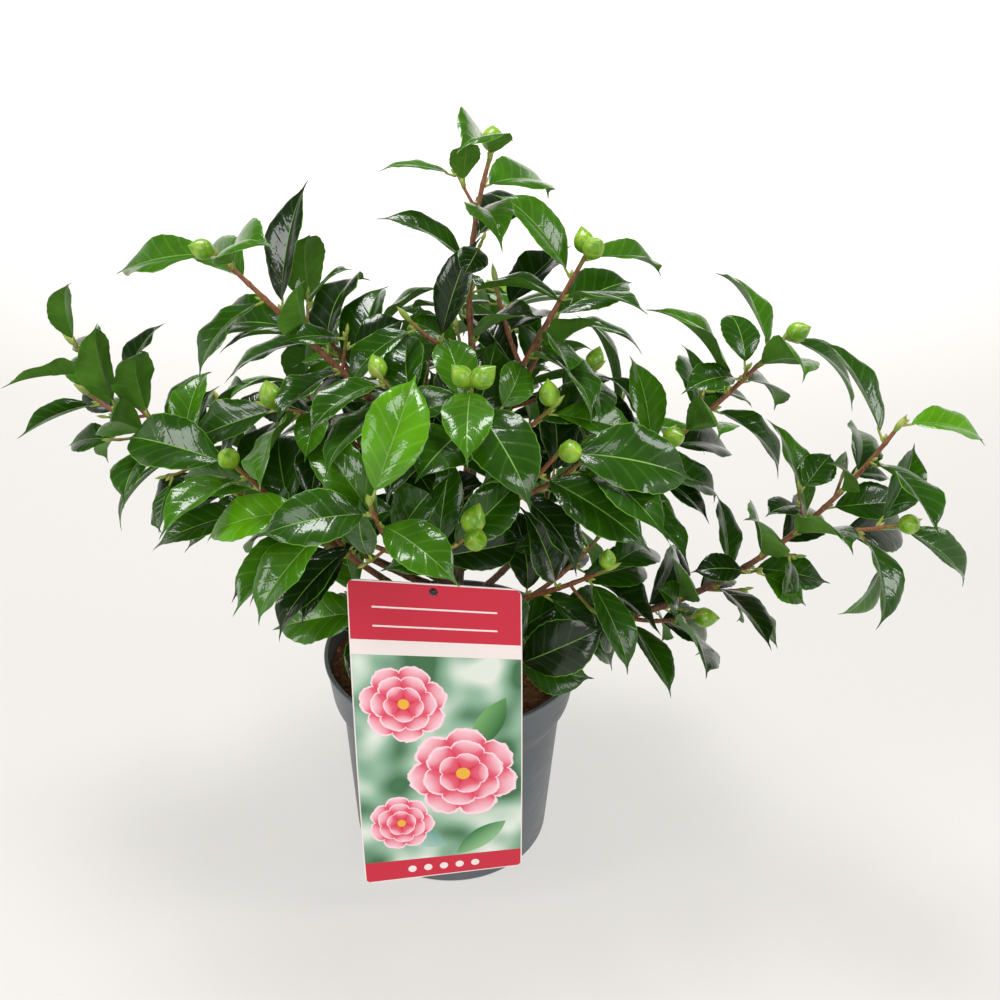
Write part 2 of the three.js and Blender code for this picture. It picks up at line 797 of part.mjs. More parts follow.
function labelSolid() {
  const { width, height, thickness } = LABEL;
  const card = new THREE.BoxGeometry(width + 4, height * 1.02, thickness, 2, 6, 1);
  const position = card.attributes.position;
  for (let i = 0; i < position.count; i += 1) {
    const share = 0.5 - position.getY(i) / height;
    const spot = cardPoint(position.getX(i), share, position.getZ(i));
    position.setXYZ(i, spot.x, spot.y, spot.z);
  }
  const cut = { depth: 60, bevelEnabled: false, curveSegments: 3 };
  const cutter = new THREE.ExtrudeGeometry(cardShape(), cut);
  cutter.translate(0, 0, -30);
  const hole = hungPin(LABEL.holeRadius, 20, 0, 12);
  return toSolid(card).intersect(toSolid(hang(cutter))).subtract(toSolid(hole));
}

/** A flat stake in the soil behind the card; `extra` makes it larger all round. */
function stakeBlade(extra = 0) {
  const { width, depth, behind, buried } = STAKE;
  const pin = cardPoint(0, LABEL.holeDrop / LABEL.height);
  const foot = SOIL.level - buried;
  const top = pin.z + 4;
  const blade = new THREE.BoxGeometry(width + 2 * extra, depth + 2 * extra, top - foot + 2 * extra);
  blade.translate(pin.x, pin.y + behind + depth / 2, (top + foot) / 2);
  return toSolid(blade);
}

function stakeSolid() {
  const { pegRadius, pegLength } = STAKE;
  return stakeBlade().add(toSolid(hungPin(pegRadius, pegLength, 1.5 - pegLength / 2, 10)));
}

// ---- assembly -----------------------------------------------------------------------------

const group = new THREE.Group();
group.name = 'camellia_shrub';

function add(name, solid, finish) {
  const material = new THREE.MeshStandardMaterial({ metalness: 0, ...COLOURS[finish ?? name] });
  material.name = finish ?? name;
  const mesh = new THREE.Mesh(toGeometry(solid), material);
  mesh.name = name;
  group.add(mesh);
}

add('pot', potSolid());
add('soil', soilSolid().subtract(stakeBlade(GAP)));
add('label', labelSolid());
add('label_stake', stakeSolid());
add('trunk', limbSolid(trunkStem, 0, 1, (t) => trunkRadius(t), TRUNK.sides, TRUNK.rings));

const limbs = LIMBS.map(layOutLimb);
settle(limbs);
const sleeveTop = 1 + GAP / trunkStem.length(0, 1);
const sleeve = limbSolid(trunkStem, 0, sleeveTop, (t) => trunkRadius(t, GAP), TRUNK.sides, TRUNK.rings);
for (const limb of limbs) {
  if (limb.foot !== null) {
    add(`bough_${limb.name}`, boughSolid(limb, sleeve), 'bough');
  }
}
for (const limb of limbs) {
  add(`leaves_${limb.name}`, massSolid(limb).subtract(sleeve), 'foliage');
}

export default group;
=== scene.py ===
"""A young camellia in a 17 cm nursery pot, with its picture label.

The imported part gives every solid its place. The plant is grown here again by the rule of its
solids: each limb leaves the trunk as a bare bough and goes on as a leafy stem with side twigs,
and then carries finer spurs inside the same reach. Growing works in millimetres, as the part's
source does, and meshes are put down in metres. +Z is up and -Y is the front.
"""

import logging
import math
from dataclasses import dataclass, field, replace
from enum import Enum
from functools import cached_property
from typing import ClassVar

import bmesh
import bpy
import numpy as np
from mathutils import Matrix, Vector


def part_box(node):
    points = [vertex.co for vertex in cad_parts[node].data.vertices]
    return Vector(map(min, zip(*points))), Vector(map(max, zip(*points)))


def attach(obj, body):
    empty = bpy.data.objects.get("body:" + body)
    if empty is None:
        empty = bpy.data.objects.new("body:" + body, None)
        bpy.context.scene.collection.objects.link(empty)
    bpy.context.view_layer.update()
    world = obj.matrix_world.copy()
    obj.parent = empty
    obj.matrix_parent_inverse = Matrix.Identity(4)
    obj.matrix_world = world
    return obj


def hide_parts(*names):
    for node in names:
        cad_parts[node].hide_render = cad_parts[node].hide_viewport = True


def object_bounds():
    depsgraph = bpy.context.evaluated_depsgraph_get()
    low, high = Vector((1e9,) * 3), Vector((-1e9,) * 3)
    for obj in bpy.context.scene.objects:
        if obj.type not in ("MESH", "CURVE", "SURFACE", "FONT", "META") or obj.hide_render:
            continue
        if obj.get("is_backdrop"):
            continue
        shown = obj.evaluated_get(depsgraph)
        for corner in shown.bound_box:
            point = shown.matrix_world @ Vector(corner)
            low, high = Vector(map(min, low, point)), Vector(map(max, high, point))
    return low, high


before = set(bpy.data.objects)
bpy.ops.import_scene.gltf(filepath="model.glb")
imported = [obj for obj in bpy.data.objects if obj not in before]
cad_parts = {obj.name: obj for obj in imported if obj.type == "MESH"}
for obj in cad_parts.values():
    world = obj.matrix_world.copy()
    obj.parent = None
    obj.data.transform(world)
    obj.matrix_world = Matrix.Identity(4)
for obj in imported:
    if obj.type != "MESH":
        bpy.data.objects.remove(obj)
CAD_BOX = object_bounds()

log = logging.getLogger("camellia")

MM = 0.001
UP = np.array([0.0, 0.0, 1.0])
WELD = 2e-6  # points nearer than this are one, m
UV_NAME = "surface"
Array = np.ndarray
Socket = bpy.types.NodeSocket
Input = Socket | float | tuple[float, ...]


# ---- vectors, noise and grids ---------------------------------------------------------------


def unit(vectors: Array) -> Array:
    """Each vector divided by its own length."""
    return vectors / np.linalg.norm(vectors, axis=-1, keepdims=True)


def dot(one: Array, other: Array) -> Array:
    """Dot products, kept as a last axis of one."""
    return (one * other).sum(-1, keepdims=True)


def bearing(heading: float, climb: float) -> Array:
    """Direction of a compass heading (0 is +X, 90 the back) and a climb, in degrees."""
    h, c = math.radians(heading), math.radians(climb)
    return np.array([math.cos(c) * math.cos(h), math.cos(c) * math.sin(h), math.sin(c)])


def frame_across(along: Array) -> tuple[Array, Array]:
    """Two directions square to `along`: one level, one completing the frame.

    Args:
        along: unit directions, any number of them.

    Returns:
        The level direction (+X where `along` is nearly upright) and level x along.
    """
    level = np.cross(along, UP)
    leaning = (level**2).sum(-1, keepdims=True) > 0.04
    across = np.where(leaning, unit(level + 1e-30), [1.0, 0.0, 0.0])
    across = unit(across - along * dot(across, along))
    return across, np.cross(across, along)


def around(count: int) -> Array:
    """Angles evenly spaced once round."""
    return np.linspace(0, 2 * np.pi, count, endpoint=False)


def spun(level: Array, upper: Array, angle: Array | float) -> Array:
    """Directions turned by an angle from level towards upper."""
    return level * np.cos(angle) + upper * np.sin(angle)


def capped(rings: Array, centres: Array) -> Array:
    """Rings (..., rows, n, 3) closed by a row drawn in to the first and to the last centre."""
    first, last = (np.broadcast_to(centres[..., i, None, :], rings[..., i, :, :].shape) for i in (0, -1))
    return np.concatenate([first[..., None, :, :], rings, last[..., None, :, :]], -3)


def value_noise(x: Array, y: Array, seed: int) -> Array:
    """Smooth noise from 0 to 1: random lattice values joined by a cubic ease in x and in y.

    Args:
        x: first coordinate, in lattice cells.
        y: second coordinate, in lattice cells.
        seed: which lattice.

    Returns:
        One value for each point.
    """
    lattice = np.random.default_rng(seed).random((64, 64))
    i, j = np.floor(x).astype(int), np.floor(y).astype(int)
    u, v = x - i, y - j
    u, v = u * u * (3 - 2 * u), v * v * (3 - 2 * v)
    corner = lambda a, b: lattice[(i + a) % 64, (j + b) % 64]
    low = corner(0, 0) * (1 - u) + corner(1, 0) * u
    high = corner(0, 1) * (1 - u) + corner(1, 1) * u
    return low * (1 - v) + high * v


def grid_quads(rows: int, columns: int, around: bool = False) -> Array:
    """Corner numbers of a grid's faces.

    Args:
        rows: rows of points.
        columns: points in a row.
        around: whether each row closes on itself.

    Returns:
        Four point numbers for each face, points counted row by row.
    """
    i, j = np.meshgrid(np.arange(rows - 1), np.arange(columns - (not around)), indexing="ij")
    i, j = i.ravel(), j.ravel()
    k = (j + 1) % columns
    return np.stack([i * columns + j, i * columns + k, (i + 1) * columns + k, (i + 1) * columns + j], -1)


@dataclass
class Parts:
    """Grids gathered for one joined piece: points in millimetres, quads, slots and UVs."""

    points: list[Array] = field(default_factory=list)
    quads: list[Array] = field(default_factory=list)
    slots: list[Array] = field(default_factory=list)
    uvs: list[Array] = field(default_factory=list)
    count: int = 0

    def add(self, points: Array, quads: Array, slots: Array | int = 0, uv: Array | None = None) -> None:
        """Adds one grid.

        Args:
            points: the grid's points, in millimetres.
            quads: its faces, as four point numbers each.
            slots: material slot of each face, or of all.
            uv: a UV for each point.
        """
        points = points.reshape(-1, 3)
        self.points.append(points)
        self.quads.append(quads.reshape(-1, 4) + self.count)
        self.slots.append(np.broadcast_to(np.asarray(slots).ravel(), (self.quads[-1].shape[0],)))
        self.uvs.append(np.zeros((len(points), 2)) if uv is None else uv.reshape(-1, 2))
        self.count += len(points)

    def copies(self, points: Array, quads: Array, slots: Array, uv: Array | None = None) -> None:
        """Adds many grids of one make: points (n, p, 3), quads (q, 4), slots (n, q) or (q,)."""
        many, each = points.shape[:2]
        offsets = np.arange(many)[:, None, None] * each
        slots = np.broadcast_to(slots, (many, len(quads)))
        uv = None if uv is None else np.broadcast_to(uv, (many, each, 2))
        self.add(points, quads[None] + offsets, slots, uv)

    def tube(self, line: Array, radii: Array, sides: int, slots: Array | int = 0) -> None:
        """A closed round tube: rings square to the line, each end drawn in to a point.

        Args:
            line: points of the centreline.
            radii: radius of each ring, or of each ring point.
            sides: points round a ring.
            slots: slot for each ring step, or for all.
        """
        along = unit(np.gradient(line, axis=0))
        level, upper = frame_across(along)
        radii = np.broadcast_to(np.asarray(radii, float).reshape(len(line), -1), (len(line), sides))
        ring = spun(level[:, None], upper[:, None], around(sides)[:, None])
        body = line[:, None] + ring * radii[..., None]
        rows = np.broadcast_to(np.asarray(slots), (len(line) - 1,))
        rows = np.concatenate([rows[:1], rows, rows[-1:]])
        self.add(capped(body, line), grid_quads(len(line) + 2, sides, True), np.repeat(rows, sides))

    def build(self, name: str, materials: list[bpy.types.Material], crease: float = 50) -> bpy.types.Object:
        """Makes one closed, outward-facing mesh object of everything gathered.

        Args:
            name: the piece's name.
            materials: one material for each slot.
            crease: edges sharper than this many degrees stay sharp.

        Returns:
            The object, at the origin, riding on the root body.
        """
        points = np.concatenate(self.points) * MM
        quads = np.concatenate(self.quads)
        mesh = bpy.data.meshes.new(name)
        mesh.vertices.add(len(points))
        mesh.vertices.foreach_set("co", points.astype(np.float32).ravel())
        mesh.loops.add(quads.size)
        mesh.loops.foreach_set("vertex_index", quads.astype(np.int32).ravel())
        mesh.polygons.add(len(quads))
        mesh.polygons.foreach_set("loop_start", np.arange(0, quads.size, 4, dtype=np.int32))
        mesh.polygons.foreach_set("material_index", np.concatenate(self.slots).astype(np.int32))
        layer = mesh.uv_layers.new(name=UV_NAME)
        layer.data.foreach_set("uv", np.concatenate(self.uvs)[quads.ravel()].astype(np.float32).ravel())
        mesh.update(calc_edges=True)
        work = bmesh.new()
        work.from_mesh(mesh)
        bmesh.ops.remove_doubles(work, verts=work.verts, dist=WELD)
        bmesh.ops.recalc_face_normals(work, faces=work.faces)
        work.to_mesh(mesh)
        work.free()
        for material in materials:
            mesh.materials.append(material)
        mesh.shade_smooth()
        mesh.set_sharp_from_angle(angle=math.radians(crease))
        piece = bpy.data.objects.new(name, mesh)
        bpy.context.scene.collection.objects.link(piece)
        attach(piece, "root")
        log.info("%s: %d faces", name, len(mesh.polygons))
        return piece


# ---- finishes -------------------------------------------------------------------------------


def linear(code: str) -> tuple[float, float, float, float]:
    """An sRGB hex colour as the linear colour that the shader takes."""
    parts = [int(code[i:i + 2], 16) / 255 for i in (1, 3, 5)]
    return (*[p / 12.92 if p <= 0.04045 else ((p + 0.055) / 1.055) ** 2.4 for p in parts], 1.0)


def plug(tree: bpy.types.NodeTree, made: bpy.types.Node, inputs: dict) -> None:
    """Sets or links a node's inputs.

    Args:
        tree: where the node is.
        made: the node.
        inputs: a value or another node's output by input number or name; _0 means input 0.
    """
    for name, value in inputs.items():
        key = int(name[1:]) if name[0] == "_" else name.replace("_", " ")
        if isinstance(value, bpy.types.NodeSocket):
            tree.links.new(value, made.inputs[key])
        else:
            made.inputs[key].default_value = value


def node(tree: bpy.types.NodeTree, kind: str, fields: dict | None = None, **inputs) -> bpy.types.Node:
    """Adds a node.

    Args:
        tree: where it goes.
        kind: the node's type without its prefix, such as Mix.
        fields: attributes to set on it.
        inputs: as `plug` takes them.

    Returns:
        The new node.
    """
    made = tree.nodes.new("ShaderNode" + kind)
    for name, value in (fields or {}).items():
        setattr(made, name, value)
    plug(tree, made, inputs)
    return made


class Draft:
    """A material being drawn: its tree and shader, and a short call for each step."""

    def __init__(self, finish: "Finish") -> None:
        """An empty material with the finish's colour, roughness and index."""
        self.finish = finish
        self.material = bpy.data.materials.new(finish.name)
        self.material.use_nodes = True
        self.material.diffuse_color = linear(finish.colour)
        self.tree = self.material.node_tree
        self.shader = self.tree.nodes["Principled BSDF"]
        self.set(Base_Color=linear(finish.colour), Roughness=finish.roughness, IOR=finish.ior)

    def add(self, kind: str, fields: dict | None = None, **inputs) -> bpy.types.Node:
        """Adds a node to this material."""
        return node(self.tree, kind, fields, **inputs)

    def set(self, **inputs) -> None:
        """Sets or links inputs of the shader."""
        plug(self.tree, self.shader, inputs)

    @cached_property
    def place(self) -> Socket:
        """The spot on the object, in metres."""
        return self.add("TexCoord").outputs["Object"]

    def drawn(self, stretch: float) -> Socket:
        """The spot with its height scaled, which draws noise out along Z or presses it flat."""
        return self.add("Mapping", Vector=self.place, Scale=(1.0, 1.0, stretch)).outputs[0]

    def noise(self, scale: float, detail: float, place: Socket | None = None) -> Socket:
        """Noise with `scale` cells to the metre."""
        return self.add("TexNoise", Vector=place or self.place, Scale=scale, Detail=detail).outputs[0]

    def spread(self, value: Socket, low: float, high: float, start: float = 0.0,
               end: float = 1.0) -> Socket:
        """Values from low to high, spread from start to end."""
        return self.add("MapRange", _0=value, _1=low, _2=high, _3=start, _4=end).outputs[0]

    def maths(self, what: str, a: Input, b: Input = 0.0, c: Input = 0.0) -> Socket:
        """One step of arithmetic."""
        return self.add("Math", {"operation": what}, _0=a, _1=b, _2=c).outputs[0]

    def vector(self, what: str, a: Input, b: Input = (0.0, 0.0, 0.0)) -> bpy.types.Node:
        """One step of vector arithmetic."""
        return self.add("VectorMath", {"operation": what}, _0=a, _1=b)

    def mix(self, share: Input, a: Input, b: Input, blend: str = "MIX") -> Socket:
        """Two colours mixed by a share, or multiplied."""
        fields = {"data_type": "RGBA", "blend_type": blend}
        return self.add("Mix", fields, _0=share, _6=a, _7=b).outputs[2]

    def tint(self, share: Socket, other: str) -> None:
        """Colours the surface from the finish's own colour to another, by a share."""
        self.set(Base_Color=self.mix(share, linear(self.finish.colour), linear(other)))

    def bump(self, height: Socket, strength: float, depth: float) -> Socket:
        """Relief `depth` mm deep."""
        made = self.add("Bump", Height=height, Strength=strength, Distance=depth * MM).outputs[0]
        self.set(Normal=made)
        return made


@dataclass(frozen=True)
class Finish:
    """What every finish has: its name, its colour and how rough it is."""

    name: str
    colour: str
    roughness: float = 0.5
    ior: ClassVar[float] = 1.5

    def material(self) -> bpy.types.Material:
        """A new material, drawn by the finish's own `draw`."""
        draft = Draft(self)
        self.draw(draft)
        return draft.material

    def draw(self, draft: Draft) -> None:
        """Adds the nodes of this kind of finish; each subclass has its own."""


@dataclass(frozen=True)
class LeafSkin(Finish):
    """A leaf's waxy skin: clear cuticle over green, with the pinnate veins slightly sunk."""

    vein: str = "#8fb45a"
    coat: float = 0.64
    relief: float = 0.6  # depth of the veins and puckers, mm
    pairs: float = 7.5  # side veins on each half of the blade
    ior: ClassVar[float] = 1.45

    def draw(self, draft: Draft) -> None:
        """Veins run from midrib to margin where (t x pairs) - 2|v| + 0.6 v squared is a whole number."""
        maths = draft.maths
        uv = draft.add("UVMap", {"uv_map": UV_NAME}).outputs[0]
        axes = draft.add("SeparateXYZ", _0=uv).outputs
        v = maths("ABSOLUTE", maths("MULTIPLY_ADD", axes[0], 2.0, -1.0))
        sweep = maths("MULTIPLY", maths("MULTIPLY_ADD", v, 0.6, -2.0), v)
        near = maths("PINGPONG", maths("MULTIPLY_ADD", axes[1], self.pairs, sweep), 0.5)
        line = draft.spread(near, 0.01, 0.14, 1.0, 0.0)
        cells = draft.vector("MULTIPLY", uv, (9.0, 18.0, 1.0)).outputs[0]
        flat = {"feature": "DISTANCE_TO_EDGE", "voronoi_dimensions": "2D"}
        net = draft.add("TexVoronoi", flat, Vector=cells, Scale=1.6).outputs[0]
        mottle = draft.spread(draft.noise(55.0, 2.0), 0.3, 0.7, 0.8, 1.18)
        green = draft.mix(1.0, linear(self.colour), mottle, "MULTIPLY")
        skin = draft.mix(maths("MULTIPLY", line, 0.12), green, linear(self.vein))
        puckers = maths("MULTIPLY_ADD", net, 0.22, draft.noise(130.0, 1.0))
        bump = draft.bump(maths("MULTIPLY_ADD", line, -0.25, puckers), 0.5, self.relief)
        draft.set(Base_Color=skin, Specular_IOR_Level=0.15, Coat_Weight=self.coat, Coat_Roughness=0.1,
                  Coat_Normal=bump)


@dataclass(frozen=True)
class Bark(Finish):
    """Bark or shoot skin: streaks along the wood and fine cracks across it."""

    streak: str = "#8a6b52"
    grain: float = 1.4  # spacing of the streaks, mm
    depth: float = 0.25  # mm

    def draw(self, draft: Draft) -> None:
        """Noise drawn out along Z gives the streaks; a finer one gives the cracks."""
        streaks = draft.noise(1 / (self.grain * MM), 5.0, draft.drawn(0.3))
        cracks = draft.noise(3 / (self.grain * MM), 4.0)
        draft.tint(draft.spread(streaks, 0.35, 0.68), self.streak)
        draft.bump(draft.maths("ADD", streaks, cracks), 0.7, self.depth)


@dataclass(frozen=True)
class BudSkin(Finish):
    """Smooth bud scales: fresh green, yellower in broad patches, with a soft shine."""

    flush: str = "#a9c63a"
    ior: ClassVar[float] = 1.45

    def draw(self, draft: Draft) -> None:
        """A broad noise deals the yellow flush over the scales; a fine one gives the down."""
        draft.tint(draft.spread(draft.noise(140.0, 2.0), 0.38, 0.66), self.flush)
        draft.bump(draft.noise(1500.0, 2.0), 0.25, 0.1)
        draft.set(Coat_Weight=0.35, Coat_Roughness=0.2)


@dataclass(frozen=True)
class MouldedPlastic(Finish):
    """Injection-moulded polypropylene: satin skin, faint flow clouds and fine scuffs."""

    clouds: str = "#666c70"
    grain: float = 0.5  # mm
    ior: ClassVar[float] = 1.49

    def draw(self, draft: Draft) -> None:
        """Clouds vary the colour, a fine grain breaks the shine, long scuffs roughen it."""
        draft.tint(draft.spread(draft.noise(14.0, 4.0), 0.35, 0.7, 0.0, 0.6), self.clouds)
        scuffs = draft.noise(60.0, 3.0, draft.drawn(12.0))
        rough = draft.spread(scuffs, 0.3, 0.75, self.roughness - 0.07, self.roughness + 0.12)
        draft.set(Roughness=rough)
        draft.bump(draft.noise(1 / (self.grain * MM), 2.0), 0.3, 0.06)


@dataclass(frozen=True)
class Peat(Finish):
    """Peat and bark potting mix: damp brown crumbs of several browns, dull all over."""

    pale: str = "#8a5f3c"
    crumb: float = 2.5  # mm

    def draw(self, draft: Draft) -> None:
        """Cell noise deals a brown to each crumb; finer noise roughens it."""
        cells = draft.add("TexVoronoi", Vector=draft.place, Scale=1 / (self.crumb * MM)).outputs
        grit = draft.noise(900.0, 5.0)
        draft.tint(draft.maths("MULTIPLY", cells["Color"], grit), self.pale)
        draft.bump(draft.maths("ADD", cells["Distance"], grit), 0.9, 0.6)


@dataclass(frozen=True)
class PaperBoard(Finish):
    """Plain coated board, on the label's back and edges."""

    def draw(self, draft: Draft) -> None:
        """A fibre noise gives the board its slight tooth."""
        fibre = draft.noise(700.0, 3.0)
        tone = draft.spread(fibre, 0.3, 0.7, 0.94, 1.03)
        draft.set(Base_Color=draft.mix(1.0, linear(self.colour), tone, "MULTIPLY"))
        draft.bump(fibre, 0.15, 0.05)


@dataclass(frozen=True)
class LitPaper(PaperBoard):
    """Backdrop paper with light coming through it, so the part's shadow stays faint."""

    glow: float = 0.57

    def draw(self, draft: Draft) -> None:
        """The board with an even glow."""
        super().draw(draft)
        draft.set(Emission_Color=linear("#fbf8f4"), Emission_Strength=self.glow)
        draft.material.cycles.emission_sampling = "NONE"  # wide and even, so the paths find it anyway


class LeafShade(Enum):
    """The skins of a leaf, in slot order: the blade's greens, newest first, and the others. The full and old
    greens are darker than the leaf's own colour: painted shade for the inside of the crown.
    """

    NEW = LeafSkin("cuticle_new_leaf", "#4f8a03", 0.36, "#a9cc5c")
    FRESH = LeafSkin("cuticle_fresh_leaf", "#376803", 0.35, "#86b24c")
    # painted shade: the full and old greens are darker than real leaves of their age, standing in for the shaded
    # inside of the crown
    FULL = LeafSkin("cuticle_full_leaf", "#224902", 0.34, "#6b9c44")
    OLD = LeafSkin("cuticle_old_leaf", "#0f2602", 0.33, "#55823a")
    UNDER = LeafSkin("leaf_underside", "#54852a", 0.5, "#86ac50", 0.1)
    RIB = LeafSkin("leaf_midrib", "#78a04b", 0.4, "#8fae66", 0.3, 0.08)
    MARGIN = LeafSkin("leaf_margin", "#5a8c28", 0.4, "#6f9c44", 0.3, 0.08)


class Wood(Enum):
    """The skins of the wood, oldest first, in slot order."""

    TRUNK = Bark("bark_trunk", "#4a3b30", 0.85, "#8c7866", 1.6, 0.4)
    BOUGH = Bark("bark_bough", "#4d3324", 0.75, "#8a6347", 1.3, 0.3)
    SHOOT = Bark("bark_red_shoot", "#733f27", 0.5, "#9c6843", 1.0, 0.12)
    TIP = Bark("bark_green_shoot", "#6d7a2b", 0.45, "#8f6a35", 1.2, 0.08)
    STALK = Bark("skin_leaf_stalk", "#8aa63e", 0.42, "#a3a048", 1.0, 0.05)


class Slot:
    """Slot numbers of the wood's skins."""

    TRUNK, BOUGH, SHOOT, TIP = range(4)


class BudShade(Enum):
    """The skins of the buds, in slot order."""

    SCALE = BudSkin("scale_flower_bud", "#5e9416", 0.34, "#8fbe22")
    EDGE = BudSkin("edge_flower_bud", "#86a53a", 0.5, "#a4b04c")
    LEAF_BUD = BudSkin("scale_leaf_bud", "#7f9c3a", 0.42, "#b0b655")


# ---- growing by the part's rule --------------------------------------------------------------


@dataclass
class Chance:
    """Park and Miller's generator: the same seed always grows the same limb."""

    seed: int
    state: int = field(init=False)

    def __post_init__(self) -> None:
        """Sets the first state from the seed."""
        self.state = (self.seed * 7919 + 12345) % 2147483647

    def between(self, low: float, high: float) -> float:
        """The next number, from low to high."""
        self.state = (self.state * 48271) % 2147483647
        return low + (high - low) * (self.state / 2147483647)


@dataclass
class Stem:
    """One woody stem: a single curve from its foot, bent by its control, to its tip."""

    foot: Array
    control: Array
    tip: Array

    @classmethod
    def reaching(cls, foot: Array, heading: float, climb: float, reach: float, sag: float = 0,
                 swing: float = 0) -> "Stem":
        """A straight reach that sags below its line and swings to its left in the middle."""
        along = bearing(heading, climb)
        left = bearing(heading + 90, 0)
        tip = foot + reach * along
        return cls(foot, (foot + tip) / 2 + 2 * sag * np.cross(left, along) + 2 * swing * left, tip)

    def at(self, t: Array | float) -> Array:
        """Points at shares t of the curve: (1-t)^2 foot + 2t(1-t) control + t^2 tip."""
        t = np.asarray(t, float)[..., None]
        return (1 - t) ** 2 * self.foot + 2 * t * (1 - t) * self.control + t * t * self.tip

    def direction(self, t: Array | float) -> Array:
        """Unit directions at shares t."""
        t = np.asarray(t, float)[..., None]
        return unit((t - 1) * self.foot + (1 - 2 * t) * self.control + t * self.tip)

    def length(self, start: float = 0, end: float = 1) -> float:
        """Length between two shares, by 24 chords."""
        points = self.at(np.linspace(start, end, 25))
        return float(np.linalg.norm(np.diff(points, axis=0), axis=1).sum())


@dataclass
class Habit:
    """What all the leaves and buds share: the turn from leaf to leaf and how close they may come."""

    turn: float = 144
    aside: tuple[float, ...] = (0, 42, -42, 84, -84, 128)
    clearance: float = 2.8
    light: tuple[float, float, float] = (0, -0.5, 1)
    bud_length: float = 17
    bud_radius: float = 6.2
    bud_tilt: float = 38
    bud_turn: float = 150
    bud_lift: float = 0.15
    tip_length: float = 13
    tip_radius: float = 1.9


HABIT = Habit()


CROWNING = 0.22  # how far a blade's margins arch down, as a share of its half width
BODY = 0.93  # share of a blade's length before its drawn-out tip


def outline(t: Array, body: float = BODY) -> Array:
    """Half the blade's width at t, as a share: sin(pi t / body)^0.8, and 0.9 t^3 (1 - t) for the tip."""
    return np.maximum(np.sin(np.pi * np.minimum(t, body) / body), 0) ** 0.8 + 0.9 * t**3 * (1 - t)


LEAF_ROWS = ("root", "along", "face", "length", "width", "fold", "bend", "stalk")


@dataclass
class Leaves:
    """Any number of leaves: one row in each field is one leaf. Angles in radians."""

    root: Array
    along: Array
    face: Array
    length: Array
    width: Array
    fold: Array
    bend: Array
    stalk: Array
    side: Array = field(init=False)

    def __post_init__(self) -> None:
        """Squares the face to the leaf's line and finds its side."""
        self.face = unit(self.face - self.along * dot(self.along, self.face))
        self.side = np.cross(self.along, self.face)

    def at(self, t: Array, v: Array, lift: Array | float = 0, shift: Array | float = 0,
           body: float = BODY) -> Array:
        """The blades' surfaces, folded up at the midrib and arched back along an arc.

        Args:
            t: 0 at the base to 1 at the tip.
            v: -1 at the left margin to 1 at the right.
            lift: mm off the surface.
            shift: mm to the side.
            body: share of the length before the drawn-out tip.

        Returns:
            Points, one grid for each leaf.
        """
        each = lambda values: values[:, None, None]
        turned = each(self.bend) * t
        ahead = each(self.stalk) + each(self.length) * np.sin(turned) / each(self.bend)
        drop = each(self.length) * (1 - np.cos(turned)) / each(self.bend)
        half = each(self.width) / 2 * outline(t, body)
        height = half * (np.abs(v) * np.sin(each(self.fold)) - CROWNING * v * v) + lift
        wide = half * v * np.cos(each(self.fold)) + shift
        return (each(self.root) + each(self.along) * (ahead + np.sin(turned) * height)[..., None]
                + each(self.face) * (np.cos(turned) * height - drop)[..., None]
                + each(self.side) * wide[..., None])

    def nets(self) -> Array:
        """Six ribs of three points and then the root, for each leaf: what clearances are tested on."""
        rows = np.array([0.06, 0.25, 0.44, 0.63, 0.82, 1])[:, None]
        net = self.at(rows, np.array([-1.0, 0.0, 1.0])[None]).reshape(len(self.root), 18, 3)
        return np.concatenate([net, self.root[:, None]], 1)

    @classmethod
    def joined(cls, many: list["Leaves"]) -> "Leaves":
        """One set of all the leaves of several sets."""
        return cls(*[np.concatenate([getattr(one, name) for one in many]) for name in LEAF_ROWS])

    def pick(self, which: Array) -> "Leaves":
        """The leaves numbered in `which`."""
        return Leaves(*[getattr(self, name)[which] for name in LEAF_ROWS])


@dataclass
class Bud:
    """A bud: where it sits, which way it points, and its size."""

    root: Array
    along: Array
    length: float
    radius: float


